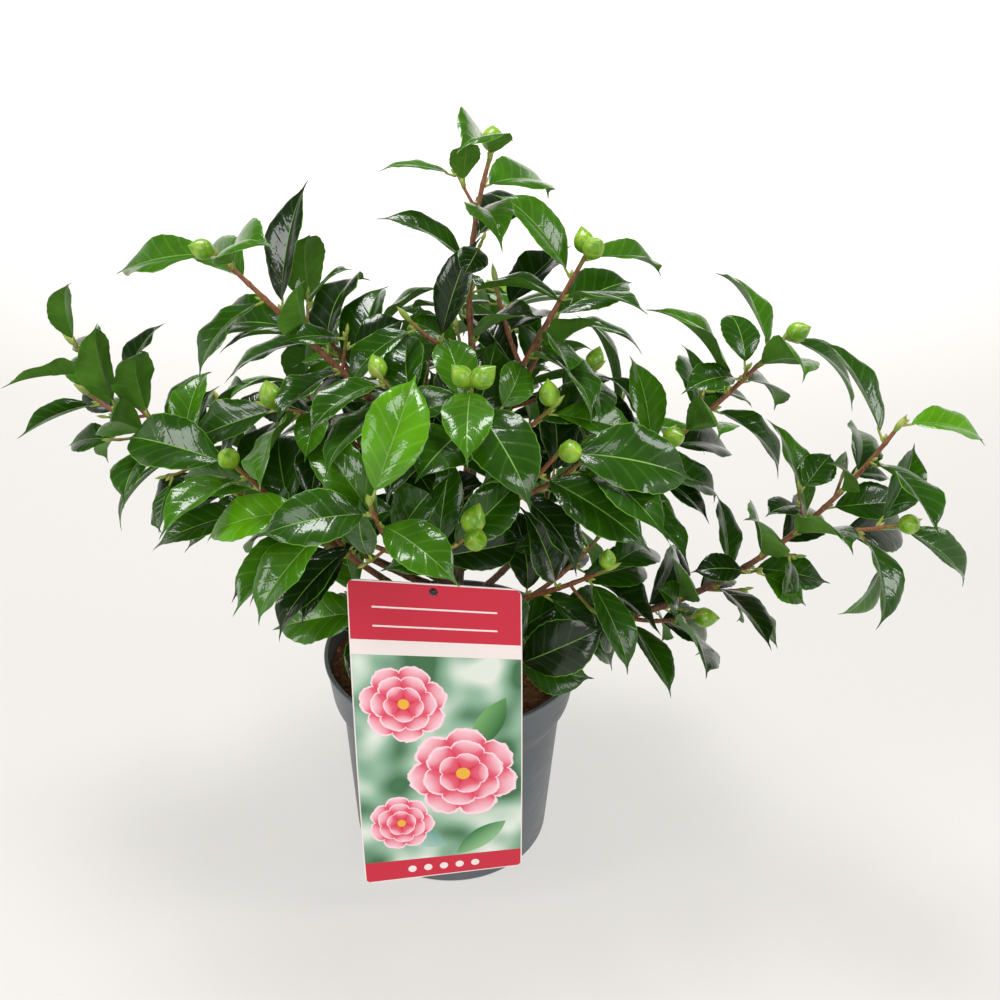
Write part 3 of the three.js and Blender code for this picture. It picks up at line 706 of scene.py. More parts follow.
@dataclass
class Twig:
    """A stem with its thickness, its leaves' size and what grew on it."""

    stem: Stem
    thick: float
    thin: float
    spacing: float
    leaf: float
    buds: int
    start: float
    first: float
    plans: list[dict[str, float]] = field(default_factory=list)
    leaves: list[Leaves] = field(default_factory=list)
    shares: list[float] = field(default_factory=list)
    flower_buds: list[Bud] = field(default_factory=list)

    @classmethod
    def fine(cls, stem: Stem, leaf: float) -> "Twig":
        """A finer twig: thin, with small leaves close together and no flower buds."""
        return cls(stem, 1.1, 0.8, 10, leaf, 0, 0, 0.45)

    def plan_leaves(self, chance: Chance) -> None:
        """Alternate leaves along the twig, each drawn with the same number of chances."""
        count = max(1, int(self.stem.length(self.first, 1) / self.spacing + 0.5))
        phase = chance.between(0, 360)
        draw = chance.between
        self.plans = [{
            "t": self.first + (1 - self.first) * (i + 0.62) / count,
            "turn": phase + i * HABIT.turn + draw(-18, 18),
            "spread": draw(46, 66),
            "droop": draw(-0.2, 0.12),
            "twist": draw(-0.25, 0.25),
            "length": self.leaf * draw(0.84, 1.16),
            "broad": draw(0.52, 0.68),
            "fold": draw(0.28, 0.58),
            "bend": draw(0.35, 1.15),
            "stalk": draw(5, 8),
        } for i in range(count)]

    def leaf_turns(self, plan: dict[str, float]) -> Leaves:
        """The leaf that a plan gives, turned each of the ways tried round the stem."""
        along = self.stem.direction(plan["t"])
        level, upper = frame_across(along)
        turn = np.radians(plan["turn"] + np.array(HABIT.aside))[:, None]
        spread = math.radians(plan["spread"])
        out = spun(level, upper, turn)
        reach = unit(along * math.cos(spread) + out * math.sin(spread) + UP * plan["droop"])
        inner = unit(along - reach * dot(along, reach))
        root = self.stem.at(plan["t"])
        outward = unit(root * [1, 1, 0])
        light = unit(np.array(HABIT.light) + 0.35 * outward)
        face = 0.32 * inner + 0.68 * light + plan["twist"] * np.cross(reach, inner)
        sizes = (plan["length"], plan["length"] * plan["broad"], plan["fold"], plan["bend"], plan["stalk"])
        same = [np.full(len(turn), size) for size in sizes]
        return Leaves(np.broadcast_to(root, reach.shape), reach, face, *same)

    def grow_buds(self, chance: Chance) -> list[Bud]:
        """Flower buds leaning out beside the twig's end."""
        along = self.stem.direction(1.0)
        level, upper = frame_across(along)
        phase = chance.between(0, 360)
        buds = []
        for i in range(self.buds):
            turn, tilt = math.radians(phase + i * HABIT.bud_turn), math.radians(HABIT.bud_tilt)
            out = spun(level, upper, turn)
            reach = unit(along * math.cos(tilt) + out * math.sin(tilt) + UP * HABIT.bud_lift)
            scale = chance.between(0.82, 1.05)
            buds.append(Bud(self.stem.at(0.985), reach, HABIT.bud_length * scale, HABIT.bud_radius * scale))
        return buds

    def radius(self, t: Array) -> Array:
        """The twig's radius at shares t."""
        return self.thick + (self.thin - self.thick) * t


@dataclass
class Limb:
    """One limb of the plant: its place on the trunk, its line and its side twigs.

    A side twig is (share of the stem, heading, climb, reach, flower buds). A rim twig is a finer
    one whose leaf hangs over the pot's rim: (share, heading, climb, reach, leaf, seed).
    """

    name: str
    foot: float | None
    heading: float
    climb: float
    reach: float
    leaf: float
    seed: int
    bare: float = 0
    sag: float = 0
    swing: float = 0
    spacing: float = 12
    buds: int = 0
    side: tuple[tuple[float, float, float, float, int], ...] = ()
    rim: tuple[tuple[float, float, float, float, float, int], ...] = ()
    twigs: list[Twig] = field(default_factory=list)
    spurs: list[Twig] = field(default_factory=list)

    def lay_out(self, trunk: "Trunk") -> None:
        """Sets the limb's stem and side twigs on the trunk."""
        share = 1.0 if self.foot is None else (self.foot - trunk.stem.foot[2]) / trunk.rise
        stem = Stem.reaching(trunk.stem.at(share), self.heading, self.climb, self.reach, self.sag,
                             self.swing)
        thick = trunk.tip_radius - 0.3 if self.foot is None else 1.9 + self.reach / 260
        self.twigs = [Twig(stem, thick, 1.2, self.spacing, self.leaf, self.buds, self.bare,
                           self.bare + 0.06)]
        for at, heading, climb, reach, buds in self.side:
            twig = Stem.reaching(stem.at(at), heading, climb, reach, 3, 0)
            self.twigs.append(Twig(twig, 1.6, 1.1, self.spacing, self.leaf * 0.95, buds, 0,
                                   min(0.5, 14 / reach)))


LIMBS = [
    Limb("top", None, 79, 82, 141, 50, 226, swing=10, spacing=15, buds=1, side=((0.16, 210, 36, 51, 0),)),
    Limb("top_right", 285, 5, 63, 140, 50, 223, bare=0.3, buds=2, side=((0.45, 125, 57, 53, 0),)),
    Limb("upper_left", 262, 187, 47, 205, 52, 249, bare=0.26, buds=1,
         side=((0.42, 127, 29, 78, 0), (0.32, 206, 15, 73, 1))),
    Limb("left", 184, 171, 27, 273, 46, 175, bare=0.34, sag=8,
         side=((0.62, 165, 40, 125, 0), (0.45, 140, 45, 85, 0), (0.5, 199, 41, 76, 0))),
    Limb("left_front", 166, 204, 46, 193, 54, 282, bare=0.34, sag=5, buds=1,
         side=((0.5, 183, 33, 74, 0), (0.4, 234, 56, 68, 0))),
    Limb("low_left", 151, 208, 37, 84, 50, 165, bare=0.35, sag=4),
    Limb("front", 193, 251, 45, 168, 52, 228, bare=0.36, sag=6, swing=-8,
         side=((0.5, 215, 40, 70, 0), (0.42, 310, 38, 70, 2))),
    Limb("centre", 250, 275, 59, 123, 52, 10, bare=0.3, buds=2,
         side=((0.5, 200, 45, 70, 1), (0.42, 340, 40, 65, 1))),
    Limb("right_front", 176, 335, 30, 119, 52, 275, bare=0.35, sag=5, buds=1, side=((0.5, 10, 45, 60, 1),)),
    Limb("right_upper", 206, 10, 37, 253, 54, 296, bare=0.28, sag=16, buds=1,
         side=((0.38, 330, 50, 70, 1), (0.34, 68, 28, 93, 0))),
    Limb("right_lower", 157, 354, 34, 310, 50, 221, bare=0.26, sag=48,
         side=((0.74, 332, 19, 59, 1), (0.34, 340, 15, 44, 2))),
    Limb("front_left", 215, 231, 62, 126, 54, 29, bare=0.34, sag=4, side=((0.46, 165, 41, 57, 1),)),
    Limb("front_right", 233, 312, 46, 122, 54, 250, bare=0.34, sag=4, buds=1,
         side=((0.46, 347, 38, 57, 1),)),
    Limb("upper_right", 270, 41, 53, 111, 50, 382, bare=0.34, sag=3, side=((0.46, 340, 32, 59, 1),)),
    Limb("upper_back", 242, 148, 55, 126, 50, 149, bare=0.34, sag=3, side=((0.46, 83, 46, 60, 0),)),
    Limb("low_right", 146, 328, 28, 78, 52, 42, bare=0.35, sag=3,
         rim=((0.65, 280, -10, 24, 60, 170), (0.55, 290, -10, 24, 48, 337))),
    Limb("back_left", 198, 128, 30, 209, 52, 119, bare=0.34, sag=8, buds=1,
         side=((0.5, 158, 38, 83, 0), (0.42, 100, 45, 86, 1))),
    Limb("back", 222, 83, 35, 203, 52, 285, bare=0.34, sag=8, buds=2,
         side=((0.5, 115, 47, 70, 0), (0.42, 58, 23, 80, 0))),
    Limb("back_right", 170, 47, 25, 214, 52, 366, bare=0.34, sag=8, buds=1,
         side=((0.5, 11, 34, 70, 0), (0.42, 83, 36, 73, 1))),
]


SIDES = {name: "left_side" for name in ("left", "upper_left", "left_front", "low_left", "back_left")}
SIDES |= {name: "right_side" for name in ("right_front", "right_upper", "right_lower", "low_right",
                                          "back_right")}


# ---- what touches what ----------------------------------------------------------------------


def net_lines() -> tuple[Array, Array]:
    """Point numbers of a net's ribs and triangles; point 18 is the leaf's root.

    Returns:
        Segments (28, 2) and triangles (20, 3).
    """
    i = np.arange(6) * 3
    lines = [np.array([[18, 1]])] + [np.stack([i + j, i + j + 1], -1) for j in (0, 1)]
    lines += [np.stack([i[:-1] + j, i[1:] + j], -1) for j in (0, 1, 2)]
    faces = []
    for j in (0, 1):
        faces.append(np.stack([i[:-1] + j, i[1:] + j, i[:-1] + j + 1], -1))
        faces.append(np.stack([i[:-1] + j + 1, i[1:] + j, i[1:] + j + 1], -1))
    return np.concatenate(lines), np.concatenate(faces)


SEGMENTS, TRIANGLES = net_lines()


def pierces(lines: Array, faces: Array) -> Array:
    """Whether any segment passes through any triangle.

    Args:
        lines: segments (..., s, 2, 3).
        faces: triangles (..., f, 3, 3).

    Returns:
        One answer for each leading index.
    """
    p, q = lines[..., :, None, 0, :], lines[..., :, None, 1, :]
    a, b, c = (faces[..., None, :, k, :] for k in range(3))
    one, two, travel = b - a, c - a, q - p
    crossed = np.cross(travel, two)
    slope = (one * crossed).sum(-1)
    safe = np.where(np.abs(slope) < 1e-9, 1.0, slope)
    offset = p - a
    u = (offset * crossed).sum(-1) / safe
    turned = np.cross(offset, one)
    v = (travel * turned).sum(-1) / safe
    t = (two * turned).sum(-1) / safe
    hit = (np.abs(slope) >= 1e-9) & (u >= 0) & (v >= 0) & (u + v <= 1) & (t >= 0) & (t <= 1)
    return hit.any((-1, -2))


def to_segments(points: Array, lines: Array) -> Array:
    """Distances from each point to each segment: (points, segments)."""
    a, b = lines[None, :, 0], lines[None, :, 1]
    run = b - a
    t = np.clip(dot(points[:, None] - a, run) / dot(run, run), 0, 1)
    return np.linalg.norm(points[:, None] - a - run * t, axis=-1)


@dataclass
class StemRow:
    """A stem and its end bud as a row of points in a box."""

    points: Array
    radius: float
    owner: Twig | None

    @classmethod
    def of(cls, stem: Stem, radius: float, owner: Twig | None) -> "StemRow":
        """Seventeen points along the stem and the end bud's tip."""
        tip = stem.at(0.97) + stem.direction(0.97) * HABIT.tip_length
        return cls(np.concatenate([stem.at(np.linspace(0, 1, 17)), tip[None]]), radius, owner)

    def lines(self) -> Array:
        """The row's segments."""
        return np.stack([self.points[:-1], self.points[1:]], 1)

    def meets(self, net: Array) -> bool:
        """Whether the stem runs through or along a leaf."""
        grown = self.radius + 1
        low, high = self.points.min(0) - grown, self.points.max(0) + grown
        if (net.min(0) > high).any() or (net.max(0) < low).any():
            return False
        near = to_segments(net[:18], self.lines()).min() < grown
        return bool(near or pierces(self.lines(), net[TRIANGLES]))


@dataclass
class Room:
    """What is already taken: the pot, the soil, the label, and every stem, bud and leaf."""

    pot: "Pot"
    soil: "Soil"
    label: "Label"
    stems: list[StemRow] = field(default_factory=list)
    eggs: list[tuple[Array, float]] = field(default_factory=list)
    nets: list[Array] = field(default_factory=list)

    def blocked(self, points: Array) -> Array:
        """Which points lie in the pot, the soil, the label or the air in front of the label."""
        pot, label = self.pot, self.label
        x, y, z = points.T
        r = np.hypot(x, y)
        inside = (z < self.soil.level + 6) & (r < pot.rim_radius + 1.5)
        low = (z > pot.height - pot.band_height) | (r < pot.body_radius + 3)
        rim = (r > pot.band_radius - 3) & (r < pot.rim_radius + 2) & (z < pot.height + 2)
        middle, _, top = label.top_centre
        share = np.clip((top - z) / label.height, 0, 1)
        ahead = label.point(np.zeros_like(share), share)[:, 1] + 10 - y
        card = (ahead > 0) & (np.abs(x - middle) < label.width / 2 + 3)
        card &= z < top + 3 + 0.52 * np.maximum(0, ahead - 10)
        return np.where(inside, low, rim | card)

    def bud_fits(self, bud: Bud, twig: Twig) -> bool:
        """Whether a flower bud keeps clear of other stems and buds."""
        centre, radius = bud.root + bud.along * bud.length * 0.5, bud.length * 0.5
        for row in self.stems:
            if row.owner is not twig and to_segments(centre[None], row.lines()).min() < radius + row.radius:
                return False
        return all(np.linalg.norm(c - centre) >= (r + radius) * 0.8 for c, r in self.eggs)

    def leaf_fits(self, net: Array, twig: Twig, own: int | None = None) -> bool:
        """Whether a leaf touches nothing.

        Args:
            net: the leaf's net.
            twig: the twig it grows on.
            own: the number of its net, where it is already set down.

        Returns:
            True where it fits.
        """
        points = net[:18]
        if self.blocked(points).any():
            return False
        if self.eggs:
            centres, radii = (np.array(column) for column in zip(*self.eggs))
            if (np.linalg.norm(points[:, None] - centres, axis=-1) < radii + 1).any():
                return False
        if any(row.owner is not twig and row.meets(net) for row in self.stems):
            return False
        if self.nets:
            others = np.array(self.nets)
            low, high = net.min(0) - HABIT.clearance, net.max(0) + HABIT.clearance
            near = ((others.min(1) < high) & (others.max(1) > low)).all(1)
            if own is not None:
                near[own] = False
            others = others[near]
            if len(others):
                gaps = np.linalg.norm(points[None, :, None] - others[:, None, :18], axis=-1)
                if gaps.min() < HABIT.clearance:
                    return False
                mine = np.broadcast_to(net, others.shape)
                if (pierces(mine[:, SEGMENTS], others[:, TRIANGLES])
                        | pierces(others[:, SEGMENTS], mine[:, TRIANGLES])).any():
                    return False
        return True

    def stem_fits(self, row: StemRow) -> bool:
        """Whether a new spur passes through no leaf and no blocked place."""
        if self.blocked(row.points).any():
            return False
        others = np.array(self.nets)
        near = (others.min(1) < row.points.max(0) + 2) & (others.max(1) > row.points.min(0) - 2)
        others = others[near.all(1)]
        return not len(others) or not pierces(np.broadcast_to(row.lines(), (len(others), 17, 2, 3)),
                                              others[:, TRIANGLES]).any()


# ---- trunk and crown ------------------------------------------------------------------------


@dataclass
class Trunk:
    """The trunk: a taper with a flare at its foot."""

    foot: tuple[float, float, float] = (0, 0, 135.8)
    tip: tuple[float, float, float] = (16, 5, 322)
    bow: tuple[float, float, float] = (-6, 0, 0)
    foot_radius: float = 5.2
    tip_radius: float = 2.5
    flare: float = 3.2
    flare_height: float = 14
    stem: Stem = field(init=False)
    rise: float = field(init=False)

    def __post_init__(self) -> None:
        """Draws the trunk's line."""
        foot, tip = np.array(self.foot, float), np.array(self.tip, float)
        self.stem = Stem(foot, (foot + tip) / 2 + np.array(self.bow), tip)
        self.rise = self.tip[2] - self.foot[2]

    def radius(self, t: Array) -> Array:
        """Straight taper and a flare that dies away up the trunk."""
        flare = self.flare * np.exp(-3 * t * self.rise / self.flare_height)
        return self.foot_radius + (self.tip_radius - self.foot_radius) * t + flare


def bark_relief(turn: Array, along: Array, seed: int, ridge: float, knots: Array) -> Array:
    """Relief of bark, as a share of the radius: ridges that wander along the wood, and rings at the knots.

    Args:
        turn: angle round the wood.
        along: mm along it.
        seed: which noise.
        ridge: height of the ridges.
        knots: places of old leaf scars, mm along.

    Returns:
        Radius factor for each ring point.
    """
    ridges = value_noise(turn * 8 / (2 * np.pi) % 8, along / 7 + 3, seed)
    fine = value_noise(turn * 20 / (2 * np.pi) % 20, along / 1.8, seed + 1)
    rings = np.exp(-((along - knots[:, None, None]) / 1.5) ** 2).sum(0) if len(knots) else 0
    return 1 + ridge * (ridges - 0.5) + 0.4 * ridge * (fine - 0.5) + 0.1 * rings


def masses(limbs: list[Limb]) -> list[str]:
    """The nodes of some limbs' masses of leaves."""
    return [f"leaves_{limb.name}" for limb in limbs]


@dataclass(frozen=True)
class Blade:
    """How a blade goes beyond the rule's surface. Lengths in mm, the rest as shares.

    Margins ripple and are finely toothed; the blade sweeps a little to one side and its tip curls
    back. It is a closed shell with a thin edge, a sunk rib above and a keel below.
    """

    rows: int = 22
    lines: tuple[float, ...] = (0.021, 0.36, 0.68, 0.965, 1)  # columns each side, 1 at the margin
    body: float = 0.87
    waves: tuple[float, float] = (1.6, 3)
    ripple: tuple[float, float] = (0.03, 0.11)
    turned_down: float = 0.07
    curl: float = 0.1
    curl_start: float = 0.68
    sweep: float = 0.05
    teeth: float = 0.035
    rib: float = 0.22
    keel: float = 0.62
    thickness: float = 0.34
    edge: float = 0.12  # how much thinner at the margin

    def shells(self, leaves: Leaves, rng: np.random.Generator) -> tuple[Array, Array]:
        """Every blade's top rows and then its underside's, and the UV of each point.

        Args:
            leaves: the leaves.
            rng: where the ripples, curls and sweeps are drawn from.

        Returns:
            Points (n, p, 3) and UVs (p, 2).
        """
        luck = lambda low, high: rng.uniform(low, high, len(leaves.length))[:, None, None]
        length, width = leaves.length[:, None, None], leaves.width[:, None, None]
        t = np.linspace(0, 1, self.rows)[:, None]
        v = np.array([-x for x in self.lines[::-1]] + list(self.lines))[None]
        closing = np.clip(4 * t * (1 - t), 0, 1) ** 0.5
        left, right = (np.sin(2 * np.pi * (luck(*self.waves) * t + luck(0, 1))) for _ in range(2))
        ripple = luck(*self.ripple) * np.where(v < 0, left, right) - self.turned_down
        lift = width / 2 * outline(t) * ripple * v**4 - self.rib * closing * np.exp(-(v / 0.09) ** 2)
        beyond = np.clip((t - self.curl_start) / (1 - self.curl_start), 0, 1)
        lift = lift - length * luck(0.0, self.curl) * beyond**2
        odd = (np.arange(self.rows) % 2)[:, None] * (np.abs(v) > 0.9) * (t > 0.12) * (t < 0.94)
        toothed = v * (1 - self.teeth * odd)
        shift = length * luck(-self.sweep, self.sweep) * t**2
        keel = self.keel * (1 - 0.85 * t) * np.exp(-(v / 0.1) ** 2)
        top = leaves.at(t, toothed, lift, shift, self.body)
        low = lift - closing * (self.thickness + keel - self.edge * np.abs(v))
        under = leaves.at(t, toothed, low, shift, self.body)[:, :, 1:-1]
        flat = np.stack(np.broadcast_arrays((v + 1) / 2, t), -1)
        points = np.concatenate([side.reshape(len(top), -1, 3) for side in (top, under)], 1)
        return points, np.concatenate([flat.reshape(-1, 2), flat[:, 1:-1].reshape(-1, 2)])

    def quads(self) -> Array:
        """Faces of the top and then of the underside, both cut along the same diagonals."""
        rows, columns = self.rows, 2 * len(self.lines)
        upper = np.arange(rows * columns).reshape(rows, columns)
        lower = rows * columns + np.arange(rows * (columns - 2)).reshape(rows, columns - 2)
        lower = np.concatenate([upper[:, :1], lower, upper[:, -1:]], 1)
        top, under = (np.stack([grid[:-1, :-1], grid[:-1, 1:], grid[1:, 1:], grid[1:, :-1]], -1)
                      for grid in (upper, lower))
        return np.concatenate([top.reshape(-1, 4), under[..., [0, 3, 2, 1]].reshape(-1, 4)])

    def slots(self, age: Array) -> Array:
        """Slot of each face: the top by the leaf's age, the underside, the rib and the margins."""
        under, rib, margin = (list(LeafShade).index(skin) for skin in (LeafShade.UNDER, LeafShade.RIB,
                                                                       LeafShade.MARGIN))
        strip = np.arange(2 * len(self.lines) - 1)
        on_rib, on_margin = strip == len(self.lines) - 1, (strip == 0) | (strip == strip[-1])
        skins = np.stack([age, np.full(len(age), under)], -1)[..., None, None]
        skins = np.where(on_rib, rib, np.where(on_margin, margin, skins))
        return np.repeat(skins, self.rows - 1, 2).reshape(len(age), -1)


def bud_surface(buds: list[Bud], rows: int, columns: int, scales: int) -> tuple[Array, Array]:
    """Eggs with a pointed tip under overlapping scales set 137.5 degrees apart.

    The egg's radius is sin(pi h^0.8)^(0.6 + 0.45 h) of its own, so blunt below and pointed
    above. A scale covers an ellipse of angle and height, and lies over the next one in.

    Args:
        buds: the buds.
        rows: rows from foot to tip.
        columns: points round.
        scales: how many scales.

    Returns:
        Points (n, rows * columns, 3), and for each face whether it is a scale's edge.
    """
    h, turn = np.linspace(0, 1, rows)[:, None], around(columns)[None]
    girth = np.maximum(np.sin(np.pi * h**0.8), 0) ** (0.6 + 0.45 * h)
    girth[0], girth[-1] = 0, 0
    layer, edge = np.zeros((rows, columns)), np.zeros((rows, columns), bool)
    for i in range(scales - 1, -1, -1):
        inward = i / (scales - 1)
        apart = (turn - i * 2.399 + np.pi) % (2 * np.pi) - np.pi
        reach = np.hypot(apart / (1.2 + 0.5 * inward), h / (0.34 + 0.7 * inward))
        layer = np.where(reach < 1, scales - i - 0.5 * reach**4, layer)
        edge = np.where(reach < 1, reach > 0.93, edge)
    radius = girth * (0.94 + 0.014 * layer)
    gather = lambda name: np.array([getattr(bud, name) for bud in buds])[:, None, None]
    root, along, length, width = (gather(name) for name in ("root", "along", "length", "radius"))
    ring = spun(*frame_across(along), turn[..., None])
    points = root + along * (h[..., None] * length[..., None]) + ring * radius[..., None] * width[..., None]
    return points.reshape(len(buds), -1, 3), edge[:-1].ravel()


@dataclass
class Crown:
    """Everything above the soil: trunk, boughs, twigs, leaves and buds."""

    trunk: Trunk
    room: Room
    limbs: list[Limb]
    blade: Blade = Blade()
    spur_every: float = 31  # mm of twig to each spur
    spur_reach: tuple[float, float] = (14, 30)
    spur_seeds: int = 1000
    growth: tuple[float, ...] = (1.26, 1.16, 1.07, 1.0)
    widening: float = 0.3  # power of the growth in length that a leaf widens by
    fold_up: float = 0.16
    past_reach: float = 0.014  # share of the whole's size that a leaf tip may pass the solids by
    past_rim: float = 6  # mm that a rim twig's leaf may pass its mass's box by
    lean_out: float = 0.25
    scars: tuple[float, ...] = (9, 22, 40, 55, 74, 90, 108, 124, 141, 158, 172)  # up the trunk, mm

    def grow(self) -> None:
        """Lays out the limbs, then gives each twig its buds and leaves where they touch nothing."""
        for limb in self.limbs:
            limb.lay_out(self.trunk)
        self.room.stems.append(StemRow.of(self.trunk.stem, self.trunk.foot_radius, None))
        for limb in self.limbs:
            self.room.stems += [StemRow.of(twig.stem, twig.thick, twig) for twig in limb.twigs]
        for limb in self.limbs:
            chance = Chance(limb.seed)
            for twig in limb.twigs:
                twig.flower_buds = [bud for bud in twig.grow_buds(chance) if self.room.bud_fits(bud, twig)]
                twig.plan_leaves(chance)
                self.room.eggs += [(bud.root + bud.along * bud.length / 2, bud.length / 2)
                                   for bud in twig.flower_buds]
        for twig in self.all_twigs():
            self.leaf_out(twig)
        self.fill_out()
        for limb in self.limbs:
            self.grow_spurs(limb)
        for limb in self.limbs:
            self.hang_rim_twigs(limb)

    def leaf_out(self, twig: Twig, box: tuple[Array, Array] | None = None) -> None:
        """Sets each planned leaf in the first turn that fits, inside the box if one is given."""
        for plan in twig.plans:
            turns = twig.leaf_turns(plan)
            for k, net in enumerate(turns.nets()):
                if box and ((net < box[0]).any() or (net > box[1]).any()):
                    continue
                if self.room.leaf_fits(net, twig):
                    self.room.nets.append(net)
                    twig.leaves.append(turns.pick(np.array([k])))
                    twig.shares.append(plan["t"])
                    break

    def fill_out(self) -> None:
        """Lets each leaf fold up and grow longer where there is room, to just past the plant's reach."""
        low, high = (np.array(corner) / MM for corner in CAD_BOX)
        past = (high - low) * self.past_reach
        owners = [(twig, k) for twig in self.all_twigs() for k in range(len(twig.leaves))]
        for own, (twig, k) in enumerate(owners):
            leaf = twig.leaves[k]
            for size in self.growth:
                larger = replace(leaf, length=leaf.length * size, width=leaf.width * size**self.widening,
                                 fold=leaf.fold + self.fold_up)
                net = larger.nets()[0]
                if (net < low - past).any() or (net > high + past).any():
                    continue
                if self.room.leaf_fits(net, twig, own):
                    self.room.nets[own], twig.leaves[k] = net, larger
                    break

    def grow_spurs(self, limb: Limb) -> None:
        """Finer twigs between the leaves of each twig, inside the reach of the limb's own mass."""
        chance = Chance(limb.seed + self.spur_seeds)
        for twig in limb.twigs:
            count = int(twig.stem.length(twig.first, 1) / self.spur_every)
            for i in range(count):
                t = twig.first + (0.86 - twig.first) * (i + 0.5) / count
                along = twig.stem.direction(t)
                turn = math.radians(i * HABIT.turn + chance.between(0, 360))
                out = spun(*frame_across(along), turn)
                way = unit(along * 0.7 + out + UP * chance.between(-0.1, 0.3))
                foot = twig.stem.at(t)
                tip = foot + way * chance.between(*self.spur_reach)
                stem = Stem(foot, (foot + tip) / 2 - UP * 2, tip)
                self.keep_spur(limb, Twig.fine(stem, limb.leaf * chance.between(0.62, 0.85)), chance)

    def hang_rim_twigs(self, limb: Limb) -> None:
        """The finer twigs whose leaves hang over the pot's rim, each on a straight short stem."""
        for share, heading, climb, reach, leaf, seed in limb.rim:
            foot = limb.twigs[0].stem.at(share)
            tip = foot + bearing(heading, climb) * reach
            stem = Stem(foot, (foot + tip) / 2 - UP, tip)
            self.keep_spur(limb, Twig.fine(stem, leaf), Chance(seed), self.past_rim)

    def keep_spur(self, limb: Limb, spur: Twig, chance: Chance, beyond: float = 0) -> None:
        """Leafs a finer twig and keeps it if it touches nothing and stays in its mass's reach.

        Args:
            limb: the limb that bears it.
            spur: the finer twig.
            chance: the draws for its leaves.
            beyond: how far its leaves may pass the mass's box, mm.
        """
        low, high = (np.array(corner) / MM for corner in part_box("leaves_" + limb.name))
        spur.plan_leaves(chance)
        row = StemRow.of(spur.stem, spur.thick, spur)
        if (row.points < low).any() or (row.points > high).any() or not self.room.stem_fits(row):
            return
        self.leaf_out(spur, (low - beyond, high + beyond))
        if spur.leaves:
            self.room.stems.append(row)
            limb.spurs.append(spur)

    def all_twigs(self) -> list[Twig]:
        """Every twig and spur."""
        return [twig for limb in self.limbs for twig in limb.twigs + limb.spurs]

    def build_bark(self) -> None:
        """Trunk and boughs with the bark's relief, as one piece."""
        parts = Parts()
        t = np.linspace(0, 1, 150)
        turn = around(28)[None]
        run = (t * self.trunk.stem.length())[:, None]
        relief = bark_relief(turn, run, 3, 0.22, np.array(self.scars, float))
        parts.tube(self.trunk.stem.at(t), self.trunk.radius(t)[:, None] * relief, 28, Slot.TRUNK)
        for number, limb in enumerate(self.limbs):
            if limb.foot is None:
                continue
            main = limb.twigs[0]
            steps = max(12, int(main.stem.length(0, main.start) / 1.3))
            t = np.linspace(0, main.start + 0.004, steps)
            run = t * main.stem.length()
            collar = 1 + 0.35 * np.exp(-run / 5)
            relief = bark_relief(turn[:, ::2], run[:, None], 20 + number, 0.2, np.arange(8, run[-1], 13.0))
            parts.tube(main.stem.at(t), (main.radius(t) * collar)[:, None] * relief, 14, Slot.BOUGH)
        piece = parts.build("bark", [Wood.TRUNK.value.material(), Wood.BOUGH.value.material()])
        names = [f"bough_{limb.name}" for limb in self.limbs if limb.foot is not None]
        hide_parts("trunk", *names)

    def build_twigs(self) -> None:
        """Leafy stems, brown at the foot, then red, green at the tip, and swollen at each leaf."""
        parts = Parts()
        turn = around(9)[None]
        for number, twig in enumerate(self.all_twigs()):
            length = twig.stem.length()
            t = np.linspace(twig.start, 1, max(6, int(twig.stem.length(twig.start, 1) / 1.8)))
            joints = np.array(twig.shares or [2.0])[:, None]
            swell = np.exp(-(((t - joints) * length - 0.6) / 1.5) ** 2).sum(0)
            relief = bark_relief(turn, (t * length)[:, None], 60 + number, 0.09, np.zeros(0))
            taper = np.where(t > 0.97, 0.97 - (t - 0.97) * 5, 1)
            left = (1 - t[:-1]) * length
            slots = np.where(left > 120, Slot.BOUGH, np.where(left > 11, Slot.SHOOT, Slot.TIP))
            radii = (twig.radius(t) * taper + 0.32 * swell)[:, None] * relief
            parts.tube(twig.stem.at(t), radii, 9, slots)
        woods = [Wood.TRUNK, Wood.BOUGH, Wood.SHOOT, Wood.TIP]
        piece = parts.build("twigs", [wood.value.material() for wood in woods])
        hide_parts(*masses(self.limbs))

    def build_stalks(self) -> None:
        """Leaf stalks: a swollen foot on the twig, then a slim curve into the midrib."""
        leaves = Leaves.joined([leaf for twig in self.all_twigs() for leaf in twig.leaves])
        s = np.linspace(0, 1, 8)
        reach = (leaves.stalk + 0.05 * leaves.length)[:, None] * s
        sink = -0.5 * np.sin(np.pi * s) - 0.55 * s
        line = (leaves.root[:, None] + leaves.along[:, None] * reach[..., None]
                + leaves.face[:, None] * sink[:, None])
        radius = np.where(s < 0.99, 0.82 + 0.45 * np.exp(-((s - 0.22) / 0.12) ** 2) - 0.2 * s, 0.05)
        radius[0] = 0.3
        ring = spun(leaves.side[:, None, None], leaves.face[:, None, None], around(7)[:, None])
        points = capped(line[:, :, None] + ring * radius[:, None, None], line)
        quads = grid_quads(10, 7, True)
        parts = Parts()
        parts.copies(points.reshape(len(points), -1, 3), quads, np.zeros(len(quads), int))
        piece = parts.build("leaf_stalks", [Wood.STALK.value.material()])
        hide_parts(*masses(self.limbs))

